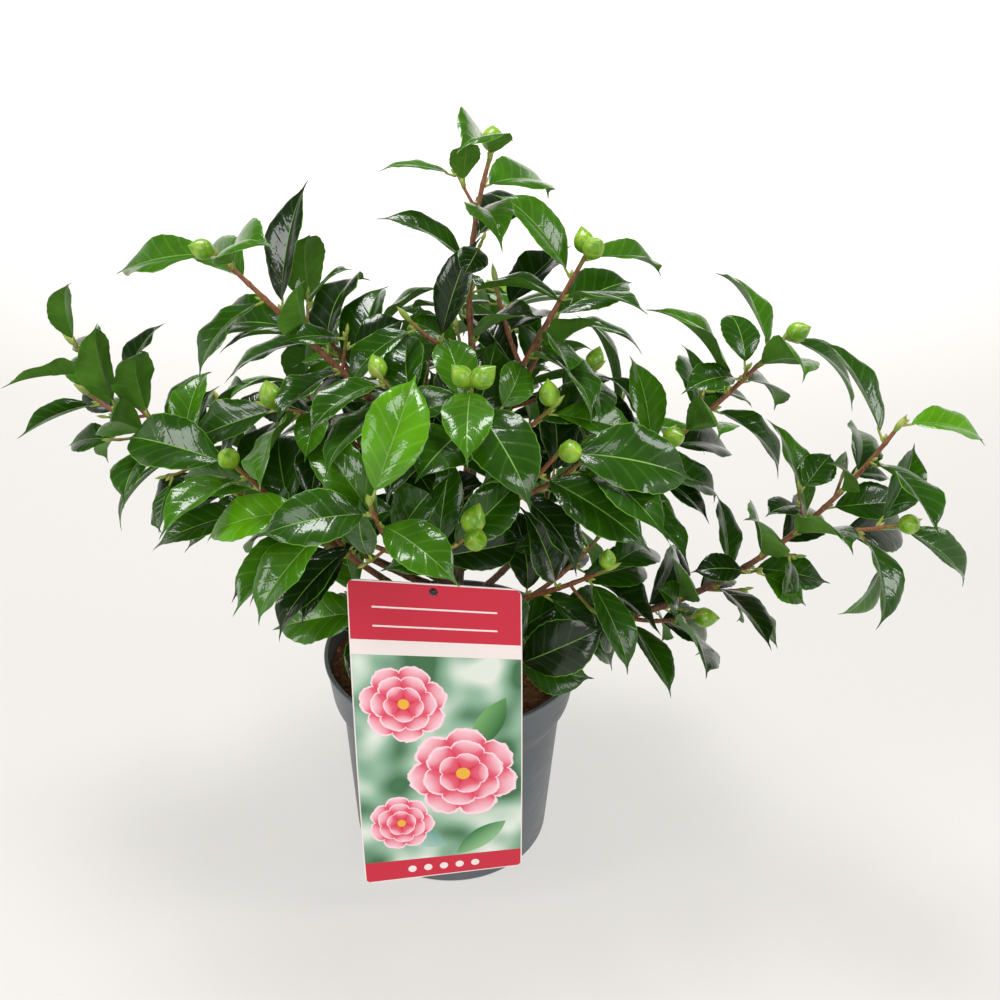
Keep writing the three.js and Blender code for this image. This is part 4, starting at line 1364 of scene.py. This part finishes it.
    def build_leaves(self, name: str, limbs: list[Limb]) -> None:
        """The blades of some limbs, newest green at each twig's tip; the darker greens further in are partly
        painted shade.

        Args:
            name: the piece's name.
            limbs: whose leaves.
        """
        twigs = [twig for limb in limbs for twig in limb.twigs + limb.spurs if twig.leaves]
        leaves = Leaves.joined([leaf for twig in twigs for leaf in twig.leaves])
        share = np.array([(t - twig.first) / (1 - twig.first) for twig in twigs for t in twig.shares])
        rng = np.random.default_rng(len(share))
        points, uv = self.blade.shells(leaves, rng)
        # leaves nearer a twig's foot are older and take the darker greens, which also stand in as painted shade
        # for the crown's inside
        age = np.digitize(0.62 * (1 - share) + rng.uniform(0, 0.6, len(share)), [0.08, 0.36, 0.74])
        parts = Parts()
        parts.copies(points, self.blade.quads(), self.blade.slots(age), uv)
        piece = parts.build(name, [shade.value.material() for shade in LeafShade], 60)
        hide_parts(*masses(limbs))

    def build_buds(self) -> None:
        """Flower buds, the slim bud at each twig's end, and the small bud in each leaf's axil."""
        flowers, ends, axils = [], [], []
        for twig in self.all_twigs():
            stem, size = twig.stem, 0.62 if twig.thick < 1.2 else 1.0
            for bud in twig.flower_buds:
                along = unit(bud.along - self.lean_out * stem.direction(1.0))
                flowers.append(Bud(bud.root + 1.2 * along, along, bud.length, bud.radius))
            ends.append(Bud(stem.at(0.97), stem.direction(1.0), HABIT.tip_length * size,
                            HABIT.tip_radius * size))
            for leaf, share in zip(twig.leaves, twig.shares):
                along = stem.direction(share)
                out = unit(leaf.along[0] - along * dot(leaf.along[0], along))
                root = stem.at(share) + along * 1.2 + out * (twig.radius(share) - 0.3)
                axils.append(Bud(root, unit(along + 0.5 * out), 4.6, 1.15))
        parts = Parts()
        makes = ((flowers, 34, 40, 7, (0, 1)), (ends, 14, 12, 5, (2, 2)), (axils, 7, 7, 5, (2, 2)))
        for buds, rows, columns, scales, slots in makes:
            points, edge = bud_surface(buds, rows, columns, scales)
            parts.copies(points, grid_quads(rows, columns, True), np.where(edge, slots[1], slots[0]))
        piece = parts.build("buds", [shade.value.material() for shade in BudShade], 70)
        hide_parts(*masses(self.limbs))

    def build(self) -> None:
        """Grows the crown and makes its pieces."""
        self.grow()
        twigs = self.all_twigs()
        log.info("crown: %d twigs, %d leaves, %d flower buds", len(twigs),
                 sum(len(twig.leaves) for twig in twigs), sum(len(twig.flower_buds) for twig in twigs))
        self.build_bark()
        self.build_twigs()
        self.build_stalks()
        self.build_buds()
        for name in ("leaves_left_side", "leaves_right_side", "leaves_middle"):
            self.build_leaves(name, [limb for limb in self.limbs if SIDES.get(limb.name, "middle") in name])


# ---- pot, soil and label ---------------------------------------------------------------------


def rounded(profile: list[tuple[float, float]], radii: list[float], steps: int = 5) -> Array:
    """A polyline with its corners eased: each corner becomes a parabola between points `radius` away.

    Args:
        profile: the corners.
        radii: how far from each corner its easing starts; 0 keeps it sharp.
        steps: points on each easing.

    Returns:
        The eased polyline.
    """
    corners = np.array(profile, float)
    out = []
    for i, (corner, radius) in enumerate(zip(corners, radii)):
        if radius == 0 or i in (0, len(corners) - 1):
            out.append(corner[None])
            continue
        before, after = corners[i - 1] - corner, corners[i + 1] - corner
        reach = [min(radius, 0.48 * np.linalg.norm(way)) for way in (before, after)]
        a, b = corner + unit(before) * reach[0], corner + unit(after) * reach[1]
        t = np.linspace(0, 1, steps)[:, None]
        out.append((1 - t) ** 2 * a + 2 * t * (1 - t) * corner + t * t * b)
    return np.concatenate(out)


def turned(profile: Array, angle: Array) -> Array:
    """Points of a profile of (radius, height) at each angle round +Z."""
    r, z = profile[:, :1], profile[:, 1:]
    return np.stack(np.broadcast_arrays(r * np.cos(angle), r * np.sin(angle), z), -1)


def cut(piece: bpy.types.Object, cutter: bpy.types.Object) -> None:
    """Takes the cutter out of the piece, applies the cut, and drops the cutter."""
    modifier = piece.modifiers.new("cut", "BOOLEAN")
    modifier.object, modifier.operation, modifier.solver = cutter, "DIFFERENCE", "EXACT"
    bpy.context.view_layer.update()
    baked = bpy.data.meshes.new_from_object(piece.evaluated_get(bpy.context.evaluated_depsgraph_get()))
    piece.modifiers.clear()
    piece.data = baked
    bpy.data.objects.remove(cutter)


@dataclass
class Pot:
    """The nursery pot: a tapered wall, a wider rim band and a drained base."""

    height: float = 146
    rim_radius: float = 85
    band_radius: float = 80.5
    band_height: float = 35
    shoulder_half: float = 6.5
    body_radius: float = 74
    base_radius: float = 68
    wall: float = 1.5
    floor: float = 2.2
    lip: float = 2.6
    holes: int = 8
    hole_radius: float = 5
    hole_circle: float = 52
    finish: MouldedPlastic = MouldedPlastic("polypropylene_moulded_anthracite", "#4d5358", 0.4)

    def shoulder(self, inset: float) -> list[tuple[float, float]]:
        """The rounded step from body to band, `inset` inside the outer surface."""
        middle, half, ease = self.height - self.band_height, self.shoulder_half, 1.2
        steps = ((self.body_radius, -half), (self.body_radius + ease, -half * 0.4),
                 (self.band_radius - ease, half * 0.4), (self.band_radius, half))
        return [(radius - inset, middle + rise) for radius, rise in steps]

    def build(self) -> None:
        """Turns the wall's eased profile, then drains the base."""
        rim, base, wall = self.rim_radius, self.base_radius, self.wall
        profile = [
            (0, 0.7), (40, 0.7), (41, 0), (base - 1.5, 0), (base, 1.5), *self.shoulder(0),
            (rim - self.lip / 2, self.height - self.lip - 1), (rim, self.height - self.lip),
            (rim, self.height - 0.4), (rim - self.lip, self.height - 0.2),
            *self.shoulder(wall)[::-1], (base - wall, self.floor), (0, self.floor),
        ]
        radii = [0, 0.4, 0.4, 1.2, 1.5, 5, 3, 3, 5, 0.8, 0.7, 0.6, 0.6, 5, 3, 3, 5, 1.5, 0]
        wall_line = rounded(profile, radii)
        parts = Parts()
        parts.add(turned(wall_line, around(160)), grid_quads(len(wall_line), 160, True))
        piece = parts.build("pot_shell", [self.finish.material()], 40)
        drill = Parts()
        for i in range(self.holes):
            angle = 2 * math.pi * i / self.holes
            centre = np.array([self.hole_circle * math.cos(angle), self.hole_circle * math.sin(angle), 0])
            drill.tube(centre + np.array([[0, 0, -5], [0, 0, 0], [0, 0, 5], [0, 0, 8.0]]),
                       np.full(4, self.hole_radius), 24)
        cut(piece, drill.build("drill", []))
        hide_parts("pot")


@dataclass
class Soil:
    """The potting mix: an uneven top with crumbs and fibres, and the filled pot under it."""

    level: float = 133
    rise: float = 2.5
    lumps: tuple[tuple[float, float, int], ...] = ((2.6, 11, 1), (1.8, 4.5, 2), (1.0, 1.9, 3))
    gap: float = 0.4  # to the pot's wall
    crumbs: int = 900
    fibres: int = 170
    seed: int = 11
    finish: Peat = Peat("peat_and_bark_crumbs", "#5c3820", 0.95, "#a4693c", 2.5)
    chip: Bark = Bark("bark_chip", "#6a4428", 0.9, "#a87a4e", 1.0, 0.3)

    def top(self, x: Array, y: Array, edge: float) -> Array:
        """Height of the surface: a low mound and three sizes of lump, dying at the wall."""
        r = np.hypot(x, y)
        mound = self.rise * np.clip(1 - r / edge, 0, 1) ** 0.7
        lumps = sum(size * (value_noise(x / cell + 30, y / cell + 30, seed) - 0.5)
                    for size, cell, seed in self.lumps)
        return self.level + mound + lumps * np.clip((edge - r) / 6, 0.15, 1) - 1.0

    def scatter_crumbs(self, parts: Parts, edge: float, rng: np.random.Generator) -> None:
        """Rough little balls of peat and bark, few of them large.

        Args:
            parts: where they go.
            edge: the mix's radius at its top.
            rng: where they are drawn from.
        """
        many = self.crumbs
        spin = rng.uniform(0, 2 * np.pi, many)
        far = edge * np.sqrt(rng.uniform(0.01, 0.99, many))
        x, y = far * np.cos(spin), far * np.sin(spin)
        centre = np.stack([x, y, self.top(x, y, edge) + 0.3], -1)
        h = np.linspace(0, np.pi, 6)[:, None]
        ball = turned(np.concatenate([np.sin(h), np.cos(h)], 1), around(7))
        rough = rng.uniform(0.65, 1.25, (many, 6, 7, 1))
        rough[:, (0, -1)] = 0.9
        size = rng.gamma(3, 0.42, (many, 1, 1, 1)).clip(0.5, 3.2)
        size = size * rng.uniform(0.6, 1.3, (many, 1, 1, 3))
        quads = grid_quads(6, 7, True)
        slots = np.repeat(rng.integers(0, 2, (many, 1)), len(quads), 1)
        parts.copies((centre[:, None, None] + ball * rough * size).reshape(many, -1, 3), quads, slots)

    def scatter_fibres(self, parts: Parts, edge: float, rng: np.random.Generator) -> None:
        """Thin curved fibres that lie on the surface.

        Args:
            parts: where they go.
            edge: the mix's radius at its top.
            rng: where they are drawn from.
        """
        for _ in range(self.fibres):
            way, at = rng.uniform(0, 2 * np.pi), rng.uniform(-0.66, 0.66, 2) * edge
            s = np.linspace(-1, 1, 7) * rng.uniform(3, 9)
            x = at[0] + s * math.cos(way) + rng.uniform(-1, 1) * (s / 4) ** 2
            y = at[1] + s * math.sin(way) + rng.uniform(-1, 1) * (s / 4) ** 2
            line = np.stack([x, y, self.top(x, y, edge) + 0.9], -1)
            parts.tube(line, np.full(7, rng.uniform(0.16, 0.4)), 4, 1)

    def build(self, pot: Pot) -> None:
        """Makes the body, the crumbs and the fibres.

        Args:
            pot: the pot that it fills.
        """
        inner = pot.band_radius - pot.wall
        band_top = pot.height - pot.band_height + pot.shoulder_half
        share = (self.level - band_top) / (pot.height - band_top)
        edge = inner + (pot.rim_radius - pot.lip - inner) * share - self.gap
        angle = around(180)
        r = np.linspace(0, edge, 64)[:, None]
        x, y = r * np.cos(angle), r * np.sin(angle)
        z = self.top(x, y, edge)
        z[0] = z[0].mean()
        floor = pot.floor + self.gap
        below = [*pot.shoulder(pot.wall + self.gap)[::-1], (pot.base_radius - pot.wall - self.gap, floor),
                 (0, floor)]
        points = np.concatenate([np.stack([x, y, z], -1), turned(np.array(below), angle)])
        parts = Parts()
        parts.add(points, grid_quads(len(points), len(angle), True))
        rng = np.random.default_rng(self.seed)
        self.scatter_crumbs(parts, edge, rng)
        self.scatter_fibres(parts, edge, rng)
        piece = parts.build("potting_mix", [self.finish.material(), self.chip.material()], 60)
        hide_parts("soil")


@dataclass(frozen=True)
class PrintedCard(Finish):
    """Gloss-printed label: a red card with a pale strip, and blossoms on soft green.

    Levels are shares of the height from the card's top; places on it are in millimetres.
    """

    pale: str = "#f1e4e1"
    greens: tuple[str, str, str] = ("#3f6f4a", "#8fb59a", "#dfe8dd")
    petals: tuple[str, str, str] = ("#d02238", "#e25d75", "#f8d3dd")
    gold: str = "#e9b13a"
    width: float = 100
    height: float = 209
    strip: tuple[float, float] = (0.174, 0.219)
    foot: float = 0.925
    rim: float = 0.7
    rules: tuple[float, ...] = (0.076, 0.132)
    leaves: tuple[tuple[float, float, float, float, str, str], ...] = (
        (30, 172, 26, 28, "#5d9a86", "#a9c9c2"),
        (80, 92, 22, 118, "#2f6a34", "#6fa564"),
        (20, 84, 20, 62, "#35733b", "#79ab6c"),
        (74, 180, 20, -38, "#3c7c46", "#8fbd8a"),
    )
    blossoms: tuple[tuple[float, float, float, float], ...] = (
        (30, 78, 26, 0.4), (64, 128, 33, 1.3), (25, 164, 20, 2.1))
    whorls: tuple[tuple[int, float], ...] = ((7, 1.0), (6, 0.74), (5, 0.46))

    def ramp(self, draft: Draft, share: Socket, stops: tuple[float, ...],
             colours: tuple[str, ...]) -> Socket:
        """Colours met in turn as share passes the stops."""
        made = draft.add("ValToRGB", _0=share)
        while len(made.color_ramp.elements) < len(stops):
            made.color_ramp.elements.new(0.5)
        for element, at, colour in zip(made.color_ramp.elements, stops, colours):
            element.position, element.color = at, linear(colour)
        return made.outputs[0]

    def band(self, draft: Draft, y: Socket, low: float, high: float) -> Socket:
        """1 between two levels."""
        return draft.maths("MULTIPLY", draft.maths("GREATER_THAN", y, self.height * low),
                           draft.maths("LESS_THAN", y, self.height * high))

    def disc(self, draft: Draft, place: Socket, x: float, y: float, radius: float) -> Socket:
        """1 inside a circle."""
        away = draft.vector("DISTANCE", place, (x, y, 0.0))
        return draft.maths("LESS_THAN", away.outputs["Value"], radius)

    def near_line(self, draft: Draft, axis: Socket, at: float, reach: float) -> Socket:
        """1 within `reach` of a line across an axis."""
        return draft.maths("LESS_THAN", draft.maths("ABSOLUTE", draft.maths("SUBTRACT", axis, at)), reach)

    def leaf(self, draft: Draft, place: Socket, under: Socket, spec: tuple) -> Socket:
        """A pointed leaf over `under`: half width 0.36 of its length times 1 - (along/long) squared.

        Args:
            draft: the card's material.
            place: the spot on the card.
            under: the colours below.
            spec: its middle, half length, turn in degrees, and two greens.

        Returns:
            The colours with the leaf.
        """
        x, y, long, turn, dark, light = spec
        moved = draft.add("Mapping", {"vector_type": "TEXTURE"}, Vector=place, Location=(x, y, 0.0),
                          Rotation=(0.0, 0.0, math.radians(turn)))
        spot = draft.add("SeparateXYZ", _0=moved.outputs[0]).outputs
        along = draft.maths("DIVIDE", spot[0], long)
        half = draft.maths("SUBTRACT", 1.0, draft.maths("MULTIPLY", along, along))
        half = draft.maths("MULTIPLY", half, long * 0.36)
        inside = draft.maths("LESS_THAN", draft.maths("ABSOLUTE", spot[1]), half)
        tone = draft.spread(spot[1], -long * 0.3, long * 0.3)
        return draft.mix(inside, under, draft.mix(tone, linear(dark), linear(light)))

    def blossom(self, draft: Draft, place: Socket, under: Socket, spec: tuple) -> Socket:
        """Whorls of petals over `under`: each rim at radius x (0.74 + 0.2 |cos(n angle / 2)|^0.5).

        Args:
            draft: the card's material.
            place: the spot on the card.
            under: the colours below.
            spec: its middle, radius and turn.

        Returns:
            The colours with the blossom.
        """
        x, y, radius, turn = spec
        maths = draft.maths
        moved = draft.vector("SUBTRACT", place, (x, y, 0.0)).outputs[0]
        spot = draft.add("SeparateXYZ", _0=moved).outputs
        far = draft.vector("LENGTH", moved).outputs["Value"]
        angle = maths("ARCTAN2", spot[1], spot[0])
        wave = draft.noise(0.16, 2.0, place)
        for count, size in self.whorls:
            lobe = maths("ABSOLUTE", maths("COSINE", maths("MULTIPLY_ADD", angle, count / 2, turn + count)))
            rim = maths("MULTIPLY_ADD", maths("POWER", lobe, 0.5), 0.2, 0.74)
            rim = maths("MULTIPLY", maths("MULTIPLY_ADD", wave, 0.16, rim), radius * size)
            share = maths("DIVIDE", far, rim)
            seam = maths("SUBTRACT", maths("MULTIPLY", maths("POWER", lobe, 0.35), 0.5), 0.12)
            tone = maths("ADD", maths("MULTIPLY", share, 0.62), seam)
            petal = self.ramp(draft, tone, (0.34, 0.74, 1.0), self.petals)
            petal = draft.mix(maths("GREATER_THAN", share, 0.94), petal, linear(self.petals[2]))
            under = draft.mix(maths("LESS_THAN", share, 1.0), under, petal)
        return draft.mix(self.disc(draft, place, x, y, radius * 0.13), under, linear(self.gold))

    def draw(self, draft: Draft) -> None:
        """The print, laid over the red card from the picture out to the pale rim."""
        maths, mix, pale = draft.maths, draft.mix, linear(self.pale)
        uv = draft.add("UVMap", {"uv_map": UV_NAME}).outputs[0]
        place = draft.vector("MULTIPLY", uv, (self.width, self.height, 1.0)).outputs[0]
        x, y = draft.add("SeparateXYZ", _0=place).outputs[:2]
        art = self.ramp(draft, draft.noise(0.028, 1.0, place), (0.36, 0.5, 0.64), self.greens)
        for spec in self.leaves:
            art = self.leaf(draft, place, art, spec)
        for spec in self.blossoms:
            art = self.blossom(draft, place, art, spec)
        card = mix(self.band(draft, y, self.strip[1], self.foot), linear(self.colour), art)
        card = mix(self.band(draft, y, *self.strip), card, pale)
        for level in self.rules:
            rule = self.near_line(draft, y, self.height * level, 0.55)
            span = self.near_line(draft, x, self.width / 2, self.width * 0.36)
            card = mix(maths("MULTIPLY", rule, span), card, pale)
        for number in range(5):
            spot = self.disc(draft, place, self.width * (0.3 + 0.1 * number), self.height * 0.963, 2.6)
            card = mix(spot, card, pale)
        ways = ((x, self.width), (y, self.height))
        sides = [maths("MINIMUM", axis, maths("SUBTRACT", size, axis)) for axis, size in ways]
        card = mix(maths("LESS_THAN", maths("MINIMUM", *sides), self.rim), card, pale)
        draft.set(Base_Color=card, Specular_IOR_Level=0.3)
        draft.bump(draft.noise(0.9, 3.0, place), 0.12, 0.05)


@dataclass
class Label:
    """The picture label: a slightly twisted and bowed card on a peg."""

    width: float = 100
    height: float = 209
    thickness: float = 0.7
    corner: float = 5
    top_centre: tuple[float, float, float] = (-7.2, -75, 241.7)
    lean: float = 4.5
    roll: float = 2
    yaw_top: float = -6.8
    yaw_foot: float = 8.9
    bow: float = 3.1
    hole_radius: float = 2.4
    hole_drop: float = 5
    front: PrintedCard = PrintedCard("board_gloss_printed", "#c9283f", 0.42)
    back: PaperBoard = PaperBoard("board_plain_white", "#e6e4df", 0.6)

    def point(self, u: Array, s: Array, forward: Array | float = 0) -> Array:
        """A point u mm across from the card's middle and s of the way from its top to its foot."""
        yaw = np.radians(self.yaw_top + (self.yaw_foot - self.yaw_top) * s)
        roll, slope = math.radians(self.roll), math.radians(self.lean)
        across = np.stack([np.cos(yaw), np.sin(yaw), np.full_like(yaw, math.sin(roll))], -1)
        drop = s * self.height * math.cos(roll)
        x, y, z = self.top_centre
        middle = np.stack([x + s * self.height * math.sin(roll),
                           y - drop * math.sin(slope) - 4 * self.bow * s * (1 - s) - forward,
                           z - drop * math.cos(slope)], -1)
        return middle + across * np.asarray(u)[..., None]

    def through_hole(self, out: list[float]) -> Array:
        """Points on the hole's axis, so far in front of the card."""
        many = len(out)
        return self.point(np.zeros(many), np.full(many, self.hole_drop / self.height), np.array(out))

    def build(self) -> None:
        """The card's loop of front and back, row by row, its rows drawn in at the rounded corners."""
        rows = np.concatenate([np.linspace(0, 1, 9) ** 1.6 * self.corner,
                               np.linspace(self.corner, self.height - self.corner, 64)[1:-1],
                               self.height - (np.linspace(1, 0, 9) ** 1.6 * self.corner)])
        inset = np.clip(self.corner - np.minimum(rows, self.height - rows), 0, None)
        half = self.width / 2 - self.corner + np.sqrt(self.corner**2 - inset**2)
        across = np.linspace(-1, 1, 41)
        share, u = np.broadcast_arrays((rows / self.height)[:, None], half[:, None] * across)
        faces = [self.point(u, share, k * self.thickness / 2) for k in (1, -1)]
        ring = np.concatenate([faces[0], faces[1][:, ::-1]], 1)
        flat = np.stack([u / self.width + 0.5, share], -1)
        uv = np.concatenate([flat, flat[:, ::-1]], 1)
        quads = grid_quads(len(rows), 82, True)
        slots = np.tile(np.where(np.arange(82) < 40, 0, 1), len(rows) - 1)
        i = np.arange(40)
        ends = [np.stack([i, i + 1, 80 - i, 81 - i], -1) + 82 * row for row in (0, len(rows) - 1)]
        parts = Parts()
        parts.add(ring, np.concatenate([quads, *ends]), np.concatenate([slots, np.ones(80, int)]), uv)
        front = replace(self.front, width=self.width, height=self.height)
        piece = parts.build("label_card", [front.material(), self.back.material()], 30)
        drill = Parts()
        drill.tube(self.through_hole([-9.0, -3, 3, 9]), np.full(4, self.hole_radius), 32)
        cut(piece, drill.build("drill", []))
        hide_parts("label")


@dataclass
class Stake:
    """The flat plastic stake behind the card, with the peg that the card hangs on."""

    width: float = 5
    depth: float = 2.6
    peg_radius: float = 2
    behind: float = 3.4
    finish: MouldedPlastic = MouldedPlastic("polypropylene_black", "#17181a", 0.42, "#232527", 0.8)

    def build(self, label: Label, soil: Soil) -> None:
        """A blade of rounded section from the mix to the hole, and a peg with a domed head."""
        foot, head = (corner[2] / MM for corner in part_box("label_stake"))
        pin = label.through_hole([0.0])[0]
        shaft = np.linspace(foot + 8, head - 3, 12)
        z = np.array([foot + 0.3, foot + 2, *shaft, head - 1.2, head - 0.2])
        squeeze = np.array([0.5, 0.85, *np.ones(12), 0.9, 0.6])[:, None]
        angle = around(24)[None]
        square = lambda wave: np.sign(wave) * np.abs(wave) ** 0.4
        x = pin[0] + squeeze * self.width / 2 * square(np.cos(angle))
        y = pin[1] + self.behind + self.depth / 2 + squeeze * self.depth / 2 * square(np.sin(angle))
        body = np.stack(np.broadcast_arrays(x, y, z[:, None]), -1)
        parts = Parts()
        parts.add(capped(body, body.mean(1)), grid_quads(len(z) + 2, 24, True))
        line = label.through_hole([-self.behind - 2, 0.6, 0.9, 1.2, 1.45])
        parts.tube(line, self.peg_radius * np.array([1, 1, 0.97, 0.8, 0.45]), 24)
        piece = parts.build("label_peg", [self.finish.material()], 50)
        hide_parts("label_stake")


# ---- studio ---------------------------------------------------------------------------------


@dataclass
class Studio:
    """A pale round sweep, soft lamps and the camera.

    A lamp is its name, place, aim, size and power.
    """

    focal: float = 36.72
    place: tuple[float, float, float] = (0.029, -0.5611, 0.5478)
    pitch: float = 27.4
    roll: float = 1.6
    dish: float = 2500  # the sweep's radius, mm
    bend: float = 900
    wall: float = 1300
    below: float = 0.05  # how far the sweep keeps under the pot's foot
    glow: tuple[str, float] = ("#f7f8fa", 0.11)
    lamps: tuple[tuple[str, tuple[float, float, float], tuple[float, float, float], float, float], ...] = (
        ("top", (-0.15, 0.35, 1.75), (0.0, 0.0, 0.2), 0.6, 21),
        ("left", (-1.5, -0.7, 1.2), (0.0, 0.0, 0.25), 0.7, 12.5),
        ("right", (1.5, -0.3, 1.3), (0.0, 0.0, 0.25), 0.6, 10.5),
        ("front", (0.3, -1.9, 1.2), (0.0, 0.0, 0.15), 1.0, 14),
        ("backdrop", (0.0, 1.9, 1.3), (0.0, 2.5, 0.6), 1.8, 52),
    )

    def build(self) -> None:
        """Makes the sweep, the lamps, the world and the camera."""
        self.build_sweep()
        self.light()
        self.set_camera()
        bpy.context.scene.view_settings.view_transform = "Standard"

    def build_sweep(self) -> None:
        """A round dish whose floor runs up into its wall on a wide bend."""
        turn = np.linspace(0, np.pi / 2, 16)
        bend = np.stack([self.dish - self.bend * (1 - np.sin(turn)), self.bend * (1 - np.cos(turn))], -1)
        profile = np.concatenate([[[0.5, 0]], bend, [[self.dish, self.wall]]]) - [0, self.below]
        points = turned(profile, np.linspace(0, 2 * np.pi, 65))
        mesh = bpy.data.meshes.new("sweep")
        mesh.from_pydata((points.reshape(-1, 3) * MM).tolist(), [], grid_quads(len(profile), 65).tolist())
        mesh.shade_smooth()
        floor = bpy.data.objects.new("sweep", mesh)
        mesh.materials.append(LitPaper("paper_sweep", "#8f8d8b", 0.8).material())
        bpy.context.scene.collection.objects.link(floor)
        floor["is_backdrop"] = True

    def light(self) -> None:
        """The lamps, each turned to its aim, and the even world."""
        scene = bpy.context.scene
        for name, place, aim, size, power in self.lamps:
            lamp = bpy.data.lights.new(name, "AREA")
            lamp.size, lamp.energy = size, power
            holder = bpy.data.objects.new(name, lamp)
            holder.location = place
            holder.rotation_euler = (Vector(place) - Vector(aim)).to_track_quat("Z", "Y").to_euler()
            scene.collection.objects.link(holder)
        world = bpy.data.worlds.new("studio")
        world.use_nodes = True
        background = world.node_tree.nodes["Background"].inputs
        background[0].default_value, background[1].default_value = linear(self.glow[0]), self.glow[1]
        scene.world = world

    def set_camera(self) -> None:
        """The camera, pitched down and rolled a little as the picture is."""
        scene = bpy.context.scene
        pitch, roll = math.radians(self.pitch), math.radians(self.roll)
        ahead = Vector((0, math.cos(pitch), -math.sin(pitch)))
        upright = Vector((0, math.sin(pitch), math.cos(pitch)))
        right = Vector((1, 0, 0)) * math.cos(roll) + upright * math.sin(roll)
        up = upright * math.cos(roll) - Vector((1, 0, 0)) * math.sin(roll)
        camera = bpy.data.objects.new("camera", bpy.data.cameras.new("camera"))
        camera.data.lens = self.focal
        camera.data.sensor_width = 36
        turned_to = Matrix((right, up, -ahead)).transposed().to_4x4()
        camera.matrix_world = Matrix.Translation(self.place) @ turned_to
        scene.collection.objects.link(camera)
        scene.camera = camera


def main() -> None:
    """Builds every sub-assembly in order."""
    logging.basicConfig(level=logging.INFO, format="%(name)s: %(message)s")
    pot, soil, label = Pot(), Soil(), Label()
    pot.build()
    soil.build(pot)
    label.build()
    Stake().build(label, soil)
    Crown(Trunk(), Room(pot, soil, label), LIMBS).build()
    Studio().build()
    sizes = {"cad": [list(corner) for corner in CAD_BOX], "visual": [list(corner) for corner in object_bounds()]}


if __name__ == "__main__":
    main()
